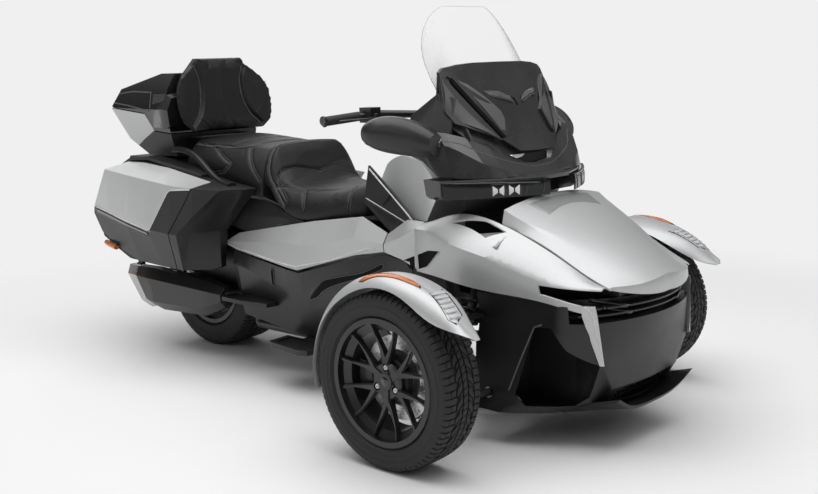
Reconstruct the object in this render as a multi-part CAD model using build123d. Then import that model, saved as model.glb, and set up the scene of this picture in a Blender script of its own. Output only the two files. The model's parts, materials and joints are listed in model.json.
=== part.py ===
"""Touring reverse trike: two steered wheels in front, one belt-driven wheel behind.

Frame: +X forward, +Y to the rider's left, +Z up. The origin is on the ground,
midway between the axles, on the centre plane. Lengths are in millimetres.
"""

import os
from math import asin, cos, pi, radians, sin

from build123d import *

# ---------------------------------------------------------------- driving dimensions
WHEELBASE = 1714.0
TRACK = 1384.0
RIM_BEAD_R = 190.5  # 15 inch rims all round
RIM_FLANGE_R = 206.0
FRONT_TYRE_R = 281.0  # 165/55 R15
FRONT_TYRE_W = 165.0
REAR_TYRE_R = 303.0  # 225/50 R15
REAR_TYRE_W = 225.0
TYRE_WALL = 11.0

FRONT_AXLE_X = WHEELBASE / 2
REAR_AXLE_X = -WHEELBASE / 2
WHEEL_Y = TRACK / 2

PANEL_GAP = 4.0  # between neighbouring body panels
PANEL_WALL = 5.0  # moulded bodywork
LIP = 6.0  # hood edge below its seam
LID_WALL = 14.0  # double-skinned lids
CASE_WALL = 8.0  # luggage case shells
RUNNING_GAP = 0.3  # axle in its bore

DISC_R = 135.0
DISC_THICKNESS = 6.0
SPINDLE_R = 20.0
HUB_R = 66.0
LUG_CIRCLE_R = 44.0
LUG_HOLE_R = 8.0
SPOKES = 6
LUGS = 3

HOOD_HINGE = Vector(1005, 0, 690)
LID_HINGE = Vector(-790, 0, 940)  # top case, at the foot of the backrest
PANNIER_SPLIT = 392.0
PANNIER_HINGE = Vector(-830, 389, 404)  # under the foot of the left side case's lid

KINGPIN_LOW = Vector(FRONT_AXLE_X + 9, 628, 150)
KINGPIN_TOP = Vector(FRONT_AXLE_X - 9, 590, 410)
STEERING_ARM = 105.0  # from the kingpin back to the tie rod

BELT_Y = 134.0
BELT_W = 28.0
BELT_T = 6.0
PULLEY_R = 104.0
SPROCKET_R = 50.0
SPROCKET_X = -312.0

PLATE_HOLE_SPACING = 146.0
PLATE_HOLE_R = 3.25

os.makedirs("parts", exist_ok=True)


# ---------------------------------------------------------------- small helpers
def save(name, *solids):
    """Write one node. Several solids that don't touch share the node."""
    shape = solids[0] if len(solids) == 1 else Compound(children=list(solids))
    export_step(shape, f"parts/{name}.step")


def biggest(shape):
    """The largest solid of a shape, once a neighbour has been cut away from it."""
    return max(shape.solids(), key=lambda solid: solid.volume)


def flip(shape):
    """The same piece on the other side of the centre plane."""
    return shape.mirror(Plane.XZ)


def outline(start, *moves):
    """Closed planar face from a start point, points (lines) and (via, end) pairs (arcs)."""
    edges, here = [], Vector(*start)
    for move in moves:
        if isinstance(move[0], tuple):
            edges.append(Edge.make_three_point_arc(here, Vector(*move[0]), Vector(*move[1])))
            here = Vector(*move[1])
        else:
            edges.append(Edge.make_line(here, Vector(*move)))
            here = Vector(*move)
    if (here - Vector(*start)).length > 1e-6:
        edges.append(Edge.make_line(here, Vector(*start)))
    return Face(Wire(edges))


def skin(sections, ruled=False):
    """Solid through closed sections that have the same number of edges."""
    return Solid(loft([outline(*s) for s in sections], ruled=ruled).solid().wrapped)


def at_x(x, points):
    """Section points (y, z) placed on the plane X = x. Arc moves are kept as pairs."""
    return [
        tuple((x, *q) for q in p) if isinstance(p[0], tuple) else (x, *p) for p in points
    ]


def prism_y(points, y0, y1):
    """Side-view polygon (x, z) pulled from y0 to y1."""
    face = outline(*[(x, y0, z) for x, z in points])
    return Solid.extrude(face, Vector(0, y1 - y0, 0))


def at_y(y, points):
    """Section points (x, z) placed on the plane Y = y."""
    return [(x, y, z) for x, z in points]


def prism_x(points, x0, x1):
    """Front-view polygon (y, z) pulled from x0 to x1."""
    face = outline(*[(x0, y, z) for y, z in points])
    return Solid.extrude(face, Vector(x1 - x0, 0, 0))


def prism_z(points, z0, z1):
    """Plan-view polygon (x, y) pulled from z0 to z1."""
    face = outline(*[(x, y, z0) for x, y in points])
    return Solid.extrude(face, Vector(0, 0, z1 - z0))


def rod(a, b, radius):
    """Round bar from point a to point b."""
    a, b = Vector(*a), Vector(*b)
    return Solid.make_cylinder(radius, (b - a).length, Plane(origin=a, z_dir=b - a))


def block(x0, x1, y0, y1, z0, z1):
    """Box between two corners."""
    return Solid.make_box(x1 - x0, y1 - y0, z1 - z0, Plane((x0, y0, z0)))


def turned(profile):
    """Closed (y, r) profile turned about the wheel's own axle line."""
    face = outline(*[
        tuple((0, *q) for q in p) if isinstance(p[0], tuple) else (0, *p) for p in profile
    ])
    return Solid.revolve(face, 360, Axis.Y)


def at_front(shape):
    """Place a wheel part at the left front hub."""
    return shape.moved(Location((FRONT_AXLE_X, WHEEL_Y, FRONT_TYRE_R)))


def at_rear(shape):
    """Place a wheel part at the rear hub."""
    return shape.moved(Location((REAR_AXLE_X, 0, REAR_TYRE_R)))


# ---------------------------------------------------------------- wheels
def tyre(radius, width):
    """Carcass with a crowned tread, rounded shoulders and bulged walls."""
    w = width / 2
    bead = w - 16
    crown = w - 14
    return turned([
        (-crown, radius - 5),
        ((0, radius), (crown, radius - 5)),
        ((w - 5, radius - 13), (w - 1.5, radius - 28)),
        ((w, (radius - 28 + RIM_BEAD_R) / 2), (bead + 7, RIM_FLANGE_R + 5)),
        (bead, RIM_FLANGE_R - 2),
        (bead, RIM_BEAD_R),
        (bead - 15, RIM_BEAD_R),
        ((w - TYRE_WALL, (radius + RIM_BEAD_R) / 2), (crown - 10, radius - 16)),
        ((0, radius - TYRE_WALL), (10 - crown, radius - 16)),
        ((TYRE_WALL - w, (radius + RIM_BEAD_R) / 2), (15 - bead, RIM_BEAD_R)),
        (-bead, RIM_BEAD_R),
        (-bead, RIM_FLANGE_R - 2),
        (-bead - 7, RIM_FLANGE_R + 5),
        ((-w, (radius - 28 + RIM_BEAD_R) / 2), (1.5 - w, radius - 28)),
        ((5 - w, radius - 13), (-crown, radius - 5)),
    ])


def barrel(width):
    """Rim well with its two flanges."""
    w = width / 2
    seat = w - 16
    well_r = RIM_BEAD_R - 25
    return turned([
        (-seat - 8, RIM_FLANGE_R - 4),
        (-seat - 4, RIM_FLANGE_R),
        (-seat, RIM_FLANGE_R - 3),
        (-seat, RIM_BEAD_R),
        (18 - seat, RIM_BEAD_R),
        (30 - seat, well_r),
        (seat - 30, well_r),
        (seat - 18, RIM_BEAD_R),
        (seat, RIM_BEAD_R),
        (seat, RIM_FLANGE_R - 3),
        (seat + 4, RIM_FLANGE_R),
        (seat + 8, RIM_FLANGE_R - 4),
        (seat + 8, RIM_BEAD_R - 6),
        (seat - 16, RIM_BEAD_R - 7),
        (seat - 28, well_r - 6),
        (28 - seat, well_r - 6),
        (16 - seat, RIM_BEAD_R - 7),
        (-seat - 8, RIM_BEAD_R - 6),
    ])


def spoke_plan(stem, split_r, reach_r, half_angle, prong):
    """Plan of one Y spoke, radial along local X: a short stem that splits into two prongs."""
    reach, spread = reach_r * cos(half_angle), reach_r * sin(half_angle)
    return [
        (26, -stem),
        (split_r - 16, -stem * 0.85),
        (reach - 30, -spread * 0.82 - prong * 0.8),
        (reach, -spread - prong * 1.3),
        (reach, -spread + prong * 0.8),
        (reach - 34, -spread * 0.8 + prong * 0.5),
        (split_r + 4, -1),
        (split_r + 4, 1),
        (reach - 34, spread * 0.8 - prong * 0.5),
        (reach, spread - prong * 0.8),
        (reach, spread + prong * 1.3),
        (reach - 30, spread * 0.82 + prong * 0.8),
        (split_r - 16, stem * 0.85),
        (26, stem),
    ]


def spoke_star(plan, y0, y1):
    """The spoke plan repeated round the axle and pulled from y0 to y1."""
    arms = None
    for k in range(SPOKES):
        turn = 2 * pi * k / SPOKES + pi / 2
        corners = [
            (u * cos(turn) - v * sin(turn), u * sin(turn) + v * cos(turn)) for u, v in plan
        ]
        arm = prism_y(corners, y0, y1)
        arms = arm if arms is None else arms + arm
    return arms


def spider(face_y, depth):
    """Y spokes with a narrower raised spine, a stepped hub and its lug holes."""
    def dish(drop):
        return turned([
            (face_y - depth - 10, 0.01),
            (face_y - depth - 10, HUB_R),
            (face_y - depth + 2, RIM_BEAD_R - 8),
            (face_y + 6 - drop, RIM_BEAD_R - 8),
            ((face_y - 9 - drop, 110), (face_y - 6 - drop, HUB_R - 8)),
            (face_y - 6 - drop, 0.01),
        ])
    half_angle = pi / SPOKES / 2
    wide = spoke_plan(stem=17, split_r=80, reach_r=RIM_BEAD_R - 3, half_angle=half_angle, prong=8)
    spine = spoke_plan(stem=11, split_r=74, reach_r=RIM_BEAD_R - 6, half_angle=half_angle, prong=4)
    star = dish(5) & spoke_star(wide, face_y - depth - 30, face_y + 30)
    star += dish(0) & spoke_star(spine, face_y - depth - 30, face_y + 30)
    star += turned([
        (face_y - depth - 10, 0.01), (face_y - depth - 10, HUB_R - 6), (face_y - 16, HUB_R - 6),
        (face_y - 10, HUB_R - 12), (face_y - 10, 30), (face_y - 3, 27), (face_y - 3, 0.01),
    ])
    for k in range(LUGS):
        turn = 2 * pi * k / LUGS + pi / 2
        x, z = LUG_CIRCLE_R * cos(turn), LUG_CIRCLE_R * sin(turn)
        star -= rod((x, face_y - 18, z), (x, face_y + 20, z), LUG_HOLE_R + 5)
        star -= rod((x, face_y - depth - 20, z), (x, face_y + 20, z), LUG_HOLE_R)
    return star


def front_rim():
    """Front wheel: barrel, spokes and a blind bearing bore on the inboard side."""
    face_y, depth = 56.0, 20.0
    wheel = barrel(FRONT_TYRE_W) + spider(face_y, depth)
    bore_depth = face_y - 16
    return wheel - rod((0, face_y - depth - 20, 0), (0, bore_depth, 0), SPINDLE_R + RUNNING_GAP)


def rear_rim():
    """Rear wheel: wider barrel, spokes near its right face and a through bore."""
    face_y, depth = 40.0, 24.0
    wheel = barrel(REAR_TYRE_W) + spider(face_y, depth)
    wheel += rod((0, -60, 0), (0, face_y - depth, 0), 42)
    return flip(wheel - rod((0, -80, 0), (0, 80, 0), SPINDLE_R + RUNNING_GAP))


def brake_disc(radius, hat_face_y, ring_y):
    """Drilled ring on a hat that bolts to the wheel's inboard face."""
    half = DISC_THICKNESS / 2
    ring = turned([
        (ring_y - half, 84), (ring_y - half, radius), (ring_y + half, radius), (ring_y + half, 84),
    ])
    hat = turned([
        (hat_face_y, 30), (hat_face_y, 72), (ring_y + half, 90), (ring_y - half, 90),
        (ring_y - half, 84), (hat_face_y - 6, 67), (hat_face_y - 6, 30),
    ])
    disc = ring + hat
    for k in range(18):
        for step, r in enumerate((98, 110, 122)):
            turn = radians(20 * k + 6 * step)
            x, z = r * cos(turn), r * sin(turn)
            disc -= rod((x, ring_y - 10, z), (x, ring_y + 10, z), 3.5)
    return disc


# ---------------------------------------------------------------- front corners
def knuckle():
    """Upright with its spindle, two ball-joint lugs and the steering arm (left side)."""
    centre = Vector(FRONT_AXLE_X, WHEEL_Y, FRONT_TYRE_R)
    inner_y = WHEEL_Y - 82
    body = rod((centre.X, inner_y + 2, centre.Z), (centre.X, WHEEL_Y - 26, centre.Z), 44)
    web = prism_y(
        [(centre.X - 34, 300), (centre.X - 22, 388), (centre.X + 6, 388), (centre.X + 34, 290),
         (centre.X + 26, 172), (centre.X - 8, 172)],
        inner_y + 2, inner_y + 24)
    axle = rod((centre.X, inner_y + 2, centre.Z), (centre.X, WHEEL_Y + 38, centre.Z), SPINDLE_R)
    top_lug = block(KINGPIN_TOP.X - 20, KINGPIN_TOP.X + 20, KINGPIN_TOP.Y - 20, inner_y + 24, 376, 394)
    low_lug = block(KINGPIN_LOW.X - 22, KINGPIN_LOW.X + 22, inner_y + 2, KINGPIN_LOW.Y + 20, 166, 184)
    tip = centre.X - STEERING_ARM - 12
    arm = prism_z(
        [(centre.X - 20, inner_y + 2), (centre.X - 20, inner_y + 22), (tip, inner_y + 14),
         (tip, inner_y - 8)],
        322, 338)
    return body + web + axle + top_lug + low_lug + arm


def caliper(ring_y):
    """Two-piston caliper straddling the disc's rear edge (left side, wheel frame)."""
    outer = turned([(ring_y - 34, 92), (ring_y - 34, 148), (ring_y + 26, 148), (ring_y + 26, 92)])
    sector = prism_y([(0, 0), (-190, 62), (-190, -62)], ring_y - 60, ring_y + 60)
    near, far = ring_y - 5, ring_y + 5
    slot = turned([(near, 60), (near, DISC_R + 5), (far, DISC_R + 5), (far, 60)])
    return (outer & sector) - slot


def caliper_bracket(ring_y):
    """Ear that carries the caliper on the upright."""
    return block(-140, -30, ring_y - 46, ring_y - 34, -26, 26)


def wishbones():
    """Upper and lower arms of one side, each an A of two tubes with a ball joint."""
    pin = (KINGPIN_TOP - KINGPIN_LOW).normalized()
    lower = rod(KINGPIN_LOW - pin * 12, KINGPIN_LOW + pin * 13, 20)
    for x in (FRONT_AXLE_X - 120, FRONT_AXLE_X + 120):
        lower += rod(KINGPIN_LOW + Vector(0, -6, 0), (x, 232, 178), 13)
        lower += rod((x - 22, 232, 178), (x + 22, 232, 178), 19)
    upper = rod(KINGPIN_TOP - pin * 13, KINGPIN_TOP + pin * 12, 17)
    for x in (FRONT_AXLE_X - 80, FRONT_AXLE_X + 80):
        upper += rod(KINGPIN_TOP + Vector(0, -6, 0), (x, 262, 430), 11)
        upper += rod((x - 20, 262, 430), (x + 20, 262, 430), 16)
    return lower, upper


def spring_leg():
    """Coil-over leg between the lower arm and the front frame (left side)."""
    low, top = Vector(FRONT_AXLE_X, 470, 190), Vector(FRONT_AXLE_X, 280, 520)
    run = (top - low).normalized()
    damper = rod(tuple(low), tuple(top), 17)
    length = (top - low).length
    leg = damper
    for k in range(7):
        a = low + run * (70 + k * 34)
        leg += Solid.make_torus(34, 6, Plane(origin=a, z_dir=run))
        leg += rod(tuple(a - run * 3), tuple(a + run * 3), 34)
    leg += rod(tuple(low + run * 54), tuple(low + run * 62), 44)
    leg += rod(tuple(low + run * (length - 80)), tuple(low + run * (length - 72)), 44)
    return leg


# Fender sections: angle up from the front, inner and outer edge y, then inner, crown, outer radius
FENDER_SPANS = [
    (27, 700, 724, 384, 393, 388),
    (35, 655, 762, 340, 368, 352),
    (43, 632, 772, 322, 358, 317),
    (53, 612, 776, 312, 348, 300),
    (66, 602, 777, 306, 338, 299),
    (83, 600, 777, 303, 333, 300),
    (98, 600, 777, 302, 329, 296),
    (115, 600, 777, 301, 324, 289),
    (132, 600, 777, 300, 318, 287),
    (150, 601, 777, 299, 311, 287),
    (172, 602, 777, 298, 305, 288),
    (193, 606, 776, 297, 303, 289),
]


def fender_form(t, overrun):
    """Fender filled solid down to its edges, drawn in by t and lengthened by overrun degrees."""
    faces = []
    for k, (angle, y_in, y_out, r_in, r_top, r_out) in enumerate(FENDER_SPANS):
        if k == 0:
            angle -= overrun
        if k == len(FENDER_SPANS) - 1:
            angle += overrun
        a = radians(angle)
        y_in, y_out, r_top = y_in + t, y_out - t, r_top - t
        w = y_out - y_in
        r_in, r_out = r_in - 2.4 * t, r_out - 2.4 * t

        def place(y, r, a=a):
            return (FRONT_AXLE_X + r * cos(a), y, FRONT_TYRE_R + r * sin(a))

        shoulder = (r_top + r_out) / 2 + (r_top - r_out) * 0.24
        inward = (r_top + r_in) / 2 + (r_top - r_in) * 0.26
        faces.append(outline(
            place(y_in, r_in),
            (place(y_in + 0.24 * w, inward), place(y_in + 0.62 * w, r_top)),
            (place(y_in + 0.9 * w, shoulder), place(y_out, r_out))))
    return Solid(loft(faces).solid().wrapped)


def fender():
    """Cycle fender of one front wheel, drawn out to a point ahead of the tyre (left side)."""
    return fender_form(0, 0) - fender_form(PANEL_WALL, 2)


def fender_stay():
    """Steel stay from the upright up and over to the fender's inner edge (left side)."""
    inner_y = WHEEL_Y - 82
    foot = (FRONT_AXLE_X, inner_y - 14, FRONT_TYRE_R + 20)
    stay = rod(foot, (FRONT_AXLE_X, inner_y + 6, FRONT_TYRE_R + 20), 9)
    for angle in (62, 140):
        a = radians(angle)
        end = (FRONT_AXLE_X + 296 * cos(a), WHEEL_Y - 98, FRONT_TYRE_R + 296 * sin(a))
        stay += rod(foot, end, 7)
        stay += Solid.make_sphere(7, Plane(origin=end))
    stay += Solid.make_sphere(9, Plane(origin=foot))
    return stay


# ---------------------------------------------------------------- nose bodywork
# Hood stations: x, centre height, ridge (y, z), seam (y, z)
HOOD_STATIONS = [
    (955, 795, (275, 767), (285, 727)),
    (1060, 747, (248, 712), (272, 682)),
    (1170, 693, (217, 657), (258, 627)),
    (1270, 638, (185, 603), (245, 570)),
    (1340, 596, (160, 568), (238, 540)),
    (1420, 545, (130, 525), (228, 505)),
]


def hood_volume(drop, tuck):
    """Everything under the hood skin, lowered by drop and drawn in by tuck."""
    sections = []
    for x, top, (ry, rz), (sy, sz) in HOOD_STATIONS:
        ry, sy = ry - tuck, sy - tuck
        sections.append(at_x(x, [
            (-sy, sz - drop),
            (-ry, rz - drop),
            ((0, top - drop), (ry, rz - drop)),
            (sy, sz - drop),
            (sy, sz - drop - LIP),
            (-sy, sz - drop - LIP),
        ]))
    return skin(sections)


def hood():
    """Front luggage lid: crowned panel, raised plateau edges and a rolled-down nose."""
    def plan(shrink):
        faces = []
        for z, back in ((640, 74), (585, 22), (548, 4), (500, 0), (460, 0)):
            nose = 1404 - shrink - back
            faces.append(outline(
                (940 - shrink, -320, z), (940 - shrink, 320, z), (nose - 82, 320, z),
                (nose - 64, 228, z), ((nose - 20, 150, z), (nose, 0, z)),
                ((nose - 20, -150, z), (nose - 64, -228, z)), (nose - 82, -320, z)))
        upper = faces[0]
        top = Solid.extrude(upper, Vector(0, 0, 260))
        return top + Solid(loft(faces).solid().wrapped)
    rear = block(960, 1600, -400, 400, 400, 900)
    outer = hood_volume(0, 0) & plan(0) & rear
    inner = hood_volume(LID_WALL, LID_WALL) & plan(LID_WALL)
    return outer - inner


def nose_volume(tuck, drop):
    """Side of the nose from the hood seam out over the crease and down (left side)."""
    # x, top inner edge, shoulder crease, lower edge, all (y, z)
    stations = [
        (640, (300, 700), (352, 684), (350, 540)),
        (760, (300, 735), (374, 668), (372, 535)),
        (940, (291, 724), (402, 636), (396, 522)),
        (1050, (279, 682), (378, 603), (376, 512)),
        (1160, (265, 628), (352, 566), (352, 500)),
        (1250, (254, 577), (322, 548), (326, 480)),
        (1325, (244, 546), (268, 541), (286, 466)),
    ]
    sections = []
    for x, (iy, iz), (cy, cz), (ly, lz) in stations:
        back, foot = iy - 0.5 - tuck * 12, lz - drop * 4
        sections.append(at_x(x, [
            (back, iz - drop), (iy, iz - drop),
            (((iy + cy) / 2 + 3, (iz + cz) / 2 + 8 * (cy - iy) / 100 - drop), (cy - tuck, cz - drop)),
            (((cy + ly) / 2 + 6 - tuck, (cz + lz) / 2), (ly - tuck, lz)),
            (ly - tuck, foot - 1), (back, foot - 1)]))
    return skin(sections)


def front_trunk():
    """Luggage tub under the hood, open on top, with the hood's hinge tube behind it."""
    t = PANEL_WALL
    def form(grow, floor):
        return skin([
            at_x(x, [(-top - grow, rim), (top + grow, rim), (low + grow, floor), (-low - grow, floor)])
            for x, top, rim, low in (
                (1030 - grow, 196, 655, 176), (1180, 196, 600, 170), (1310 + grow, 150, 530, 130))
        ], ruled=True)
    tub = form(t, 330 - t) - form(0, 330)
    hinge = rod((HOOD_HINGE.X, -120, HOOD_HINGE.Z), (HOOD_HINGE.X, 120, HOOD_HINGE.Z), 7)
    for y in (-110, 98):
        hinge += block(HOOD_HINGE.X - 8, 1030, y, y + 12, 620, HOOD_HINGE.Z)
    return tub + hinge


def nose_side():
    """Body-colour side of the nose: outlet on top, slot and blade at the front (left side)."""
    panel = nose_volume(0, 0) - nose_volume(PANEL_WALL, PANEL_WALL)
    panel -= prism_y([(1152, 552), (1340, 536), (1340, 490), (1290, 492), (1160, 524)], 200, 450)
    panel -= block(1290, 1340, 200, 290, 440, 493)
    panel -= prism_z([(785, 338), (908, 303), (992, 304), (946, 356), (853, 347)], 600, 800)
    ramp = skin([
        at_x(840, [(293, 676), (372, 632), (372, 627), (293, 671)]),
        at_x(1000, [(293, 698), (366, 660), (366, 655), (293, 693)]),
    ], ruled=True)
    blade = skin([
        ((1284, 316, 494), (1308, 302, 494), (1318, 290, 494), (1290, 302, 494)),
        ((1284, 312, 462), (1312, 296, 462), (1322, 284, 462), (1290, 298, 462)),
        ((1320, 270, 302), (1328, 268, 302), (1333, 262, 302), (1322, 264, 302)),
    ], ruled=True)
    return panel + ramp + blade


FASCIA_TOP = 498.0
# Nose moulding in plan: z, side corner (x, y), shoulder x and y, front corner (x, y), nose x
FASCIA_PLANS = [
    (118, 1000, 372, 1124, 292, 1200, 182, 1284),
    (160, 1040, 352, 1196, 284, 1290, 178, 1316),
    (215, 1075, 350, 1240, 286, 1320, 196, 1334),
    (300, 1140, 348, 1262, 320, 1322, 256, 1346),
    (400, 1180, 345, 1268, 322, 1322, 262, 1372),
    (FASCIA_TOP, 1210, 338, 1272, 316, 1320, 266, 1394),
]


def fascia_volume(tuck, floor=0.0, top=0.0, reach=0.0):
    """Nose moulding filled solid, drawn in by tuck; reach carries its rear face backwards."""
    faces = []
    for k, (z, sx, sy, mx, my, cx, cy, nose) in enumerate(FASCIA_PLANS):
        if k == 0:
            z += floor
        if k == len(FASCIA_PLANS) - 1:
            z += top
        sy, my, cy = sy - tuck, my - tuck, cy - tuck
        mx, cx, nose = mx - tuck, cx - tuck, nose - tuck
        rear = 892 - reach
        faces.append(outline(
            (rear, -sy, z), (rear, sy, z), (sx, sy, z),
            ((mx, my, z), (cx, cy, z)), ((nose, 0, z), (cx, -cy, z)),
            ((mx, -my, z), (sx, -sy, z))))
    return Solid(loft(faces, ruled=True).solid().wrapped)


def fascia():
    """Front moulding: side walls, corner ducts, centre bumper, slatted slot and floor."""
    t = PANEL_WALL
    outer = fascia_volume(0)
    shell = outer - fascia_volume(t, floor=t, top=12, reach=60)
    window = [(1127, 413), (1192, 417), (1240, 352), (1326, 296), (1304, 214), (1216, 150),
              (1084, 146), (1052, 182)]
    duct = [(1006, 345), (1006, 211), (1190, 211), (1312, 262), (1360, 262), (1360, 168),
            (1308, 168), (1250, 200), (1190, 205), (1000, 205), (1000, 345)]
    for side in (1, -1):
        for arm, inner, radius in (
            (KINGPIN_LOW, Vector(FRONT_AXLE_X + 120, 232, 178), 13),
            (KINGPIN_TOP, Vector(FRONT_AXLE_X + 80, 262, 430), 11),
            (Vector(FRONT_AXLE_X, 470, 190), Vector(FRONT_AXLE_X, 280, 520), 44),
        ):
            ends = [(p.X, side * p.Y, p.Z) for p in (arm, inner)]
            shell -= rod(*ends, radius + 5)
        shell -= prism_y(window, side * 186, side * 420)
        wall = prism_z([(x, side * y) for x, y in duct], 120, 425)
        roof = prism_z([(1000, side * 206), (1000, side * 342), (1190, side * 342),
                        (1300, side * 268), (1190, side * 206)], 418, 424)
        shell += (wall + roof) & outer
    # open slot under the hood, with two slats inside it
    band = block(1150, 1420, -330, 330, 436, 560)
    shell -= band & (fascia_volume(-20) - fascia_volume(46))
    for z in (452, 474):
        slat = block(1150, 1420, -300, 300, z, z + 6)
        shell += slat & (fascia_volume(14) - fascia_volume(50))
    shell += block(1150, 1420, -300, 300, 430, 436) & (outer - fascia_volume(60))
    shell += block(1150, 1420, -300, 300, 436, FASCIA_TOP) & (fascia_volume(46) - fascia_volume(52))
    return shell - prism_y([(1150, 207), (1420, 207), (1420, 153), (1150, 153)], -166, 166)


def splitter():
    """Lower lip ahead of the moulding, turned up at both ends."""
    half = [
        (0, (1240, 106), (1342, 124), (1350, 136), (1240, 130)),
        (90, (1230, 106), (1344, 128), (1352, 140), (1230, 130)),
        (160, (1200, 107), (1350, 146), (1358, 158), (1200, 131)),
        (226, (1150, 108), (1356, 180), (1366, 192), (1150, 132)),
    ]
    stations = [(-y, *rest) for y, *rest in half[:0:-1]] + half
    lip = skin([[(x, y, z) for x, z in points] for y, *points in stations])
    return lip


def grille():
    """Mesh insert of the lower opening: a frame with crossed bars, following the bumper."""
    bars = None
    for k in range(-9, 10):
        y = k * 17
        for lean in (-24, 24):
            bar = prism_y([(1262, 150), (1268, 150), (1268, 210), (1262, 210)], y - 1.5, y + 1.5)
            bar = bar.rotate(Axis((1265, y, 180), (1, 0, 0)), lean)
            bars = bar if bars is None else bars + bar
    frame = block(1260, 1270, -170, 170, 150, 210) - block(1250, 1280, -162, 162, 158, 202)
    return frame + (bars & block(1250, 1280, -166, 166, 154, 206))


# ---------------------------------------------------------------- fairing
def headlamp_housing():
    """Wide lamp housing across the nose, swept back at its ends."""
    def ring(z, front, mid_x, end_x, rear_x):
        return outline((rear_x, -378, z), (rear_x, 378, z), (end_x, 392, z),
                       ((mid_x, 240, z), (front, 62, z)), (front, -62, z),
                       ((mid_x, -240, z), (end_x, -392, z)), (rear_x, -378, z))
    low = ring(796, 936, 868, 772, 730)
    mid = ring(806, 984, 902, 792, 716)
    top = ring(858, 984, 900, 788, 706)
    body = Solid(loft([low, mid, top], ruled=True).solid().wrapped)
    recess = skin([
        ((1000, -74, 796), (1000, 74, 796), (940, 60, 796), (940, -60, 796)),
        ((1000, -74, 846), (1000, 74, 846), (926, 56, 846), (926, -56, 846)),
    ], ruled=True)
    return body - recess - block(560, 830, -250, 250, 700, 900)


# Lower cowl: y, then (x, z) of the band's upper edge, its lower edge and the brow over the lamps
BAND_STATIONS = [
    (0, (902, 890), (928, 860), (932, 859.5)),
    (75, (893, 898), (925, 861), (932, 859.5)),
    (150, (858, 938), (915, 866), (926, 859.5)),
    (200, (831, 966), (902, 884), (914, 859.5)),
    (270, (795, 991), (873, 908), (884, 860)),
    (330, (762, 1009), (812, 955), (834, 862)),
    (352, (742, 1013), (778, 970), (808, 866)),
    (374, (684, 972), (712, 944), (764, 870)),
]


def band_volume(tuck, rear, floor):
    """Lower cowl filled back to the rear plane, drawn in by tuck."""
    half = []
    for y, a, b, c in BAND_STATIONS:
        points = [(rear, a[1] - tuck), (a[0] - tuck, a[1] - tuck), (b[0] - tuck * 1.4, b[1]),
                  (c[0] - tuck, c[1] - floor), (rear, c[1] - floor)]
        half.append((y * (1 - tuck / 374), points))
    stations = [(-y, p) for y, p in half[:0:-1]] + half
    return skin([at_y(y, p) for y, p in stations], ruled=True)


def shield_slab(front, back):
    """Leaning, crowned slab between two offsets ahead of the shield's base surface."""
    sections = []
    for z, nose, end in ((925, 912, 820), (1000, 868, 778), (1073, 828, 738), (1150, 786, 706),
                         (1250, 730, 662)):
        sections.append((
            (end + front, -316, z), ((nose + front, 0, z), (end + front, 316, z)),
            (end + back, 316, z), ((nose + back, 0, z), (end + back, -316, z))))
    return skin(sections)


def headlamp_lens():
    """Clear cover over one lamp cluster (left side)."""
    def ring(z, front, mid_x, end_x):
        t = 7
        return outline(
            (front + 2, 72, z), ((mid_x + 4, 240, z), (end_x + 6, 392, z)),
            (end_x + 6 + t, 396, z), ((mid_x + 4 + t, 246, z), (front + 2 + t, 72, z)))
    rings = [ring(795, 989, 903, 790), ring(822, 990, 905, 792), ring(850, 987, 901, 790)]
    return Solid(loft(rings).solid().wrapped)


def cowl():
    """Upper cowl: V band, leaning shield with its slots and wedges, and the side walls."""
    half = [(130, 1233), (205, 1228), (262, 1219), (281, 1204), (297, 1126), (302, 1072),
            (288, 1038), (145, 975), (97, 938)]
    shape = [*half, (0, 935), *[(-y, z) for y, z in half[::-1]], (0, 1234)]
    plate = shield_slab(0, -12) & prism_x(shape, 500, 1000)
    body = band_volume(0, 640, 0) - band_volume(6, 500, 30)
    body -= prism_y([(500, 800), (778, 800), (768, 866), (700, 918), (600, 946), (500, 946)],
                    -400, 400)
    # walls behind the shield carry the screen and close the sides
    side_wall = skin([
        at_x(760, [(312, 960), (272, 1120), (266, 1120), (304, 960)]),
        at_x(700, [(338, 965), (290, 1136), (284, 1136), (330, 965)]),
        at_x(600, [(352, 975), (314, 1064), (308, 1064), (344, 975)]),
    ], ruled=True)
    inner = shield_slab(-26, -32) & prism_x(
        [(296, 1120), (292, 1030), (235, 960), (110, 905), (-110, 905), (-235, 960), (-292, 1030),
         (-296, 1120), (-270, 1190), (270, 1190)], 500, 1000)
    ribs = None
    for y in (-255, -60, 60, 255):
        rib = shield_slab(-6, -40) & block(500, 1000, y - 3, y + 3, 985, 1185)
        ribs = rib if ribs is None else ribs + rib
    for side in (1, -1):
        slot = [(side * 268, 1186), (side * 256, 1192), (side * 138, 984), (side * 152, 980)]
        plate -= prism_x(slot, 500, 1000)
        vent = [(side * 147, 1143), (side * 14, 1110), (side * 8, 1084), (side * 93, 1098)]
        plate -= prism_x(vent, 500, 1000) & shield_slab(10, -5)
        wedge = [(side * 250, 1186), (side * 104, 1066), (side * 118, 1000), (side * 139, 988)]
        plate += shield_slab(9, -4) & prism_x(wedge, 500, 1000)
    neck = rod((748, 322, 972), (735, 372, 972), 24)
    return body + (plate + inner + ribs) + side_wall + flip(side_wall) + neck + flip(neck)


def windscreen():
    """Clear curved screen behind the cowl shield, leaning back."""
    t = 5.0
    sections = []
    for z, x, half, sweep in ((1128, 742, 258, 62), (1215, 702, 266, 68), (1320, 655, 238, 66),
                              (1395, 620, 176, 46), (1432, 601, 104, 22)):
        sections.append(((x - sweep, -half, z), ((x, 0, z), (x - sweep, half, z)),
                         (x - sweep - t, half - 2, z), ((x - t, 0, z), (x - sweep - t, 2 - half, z))))
    return skin(sections)


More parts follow.
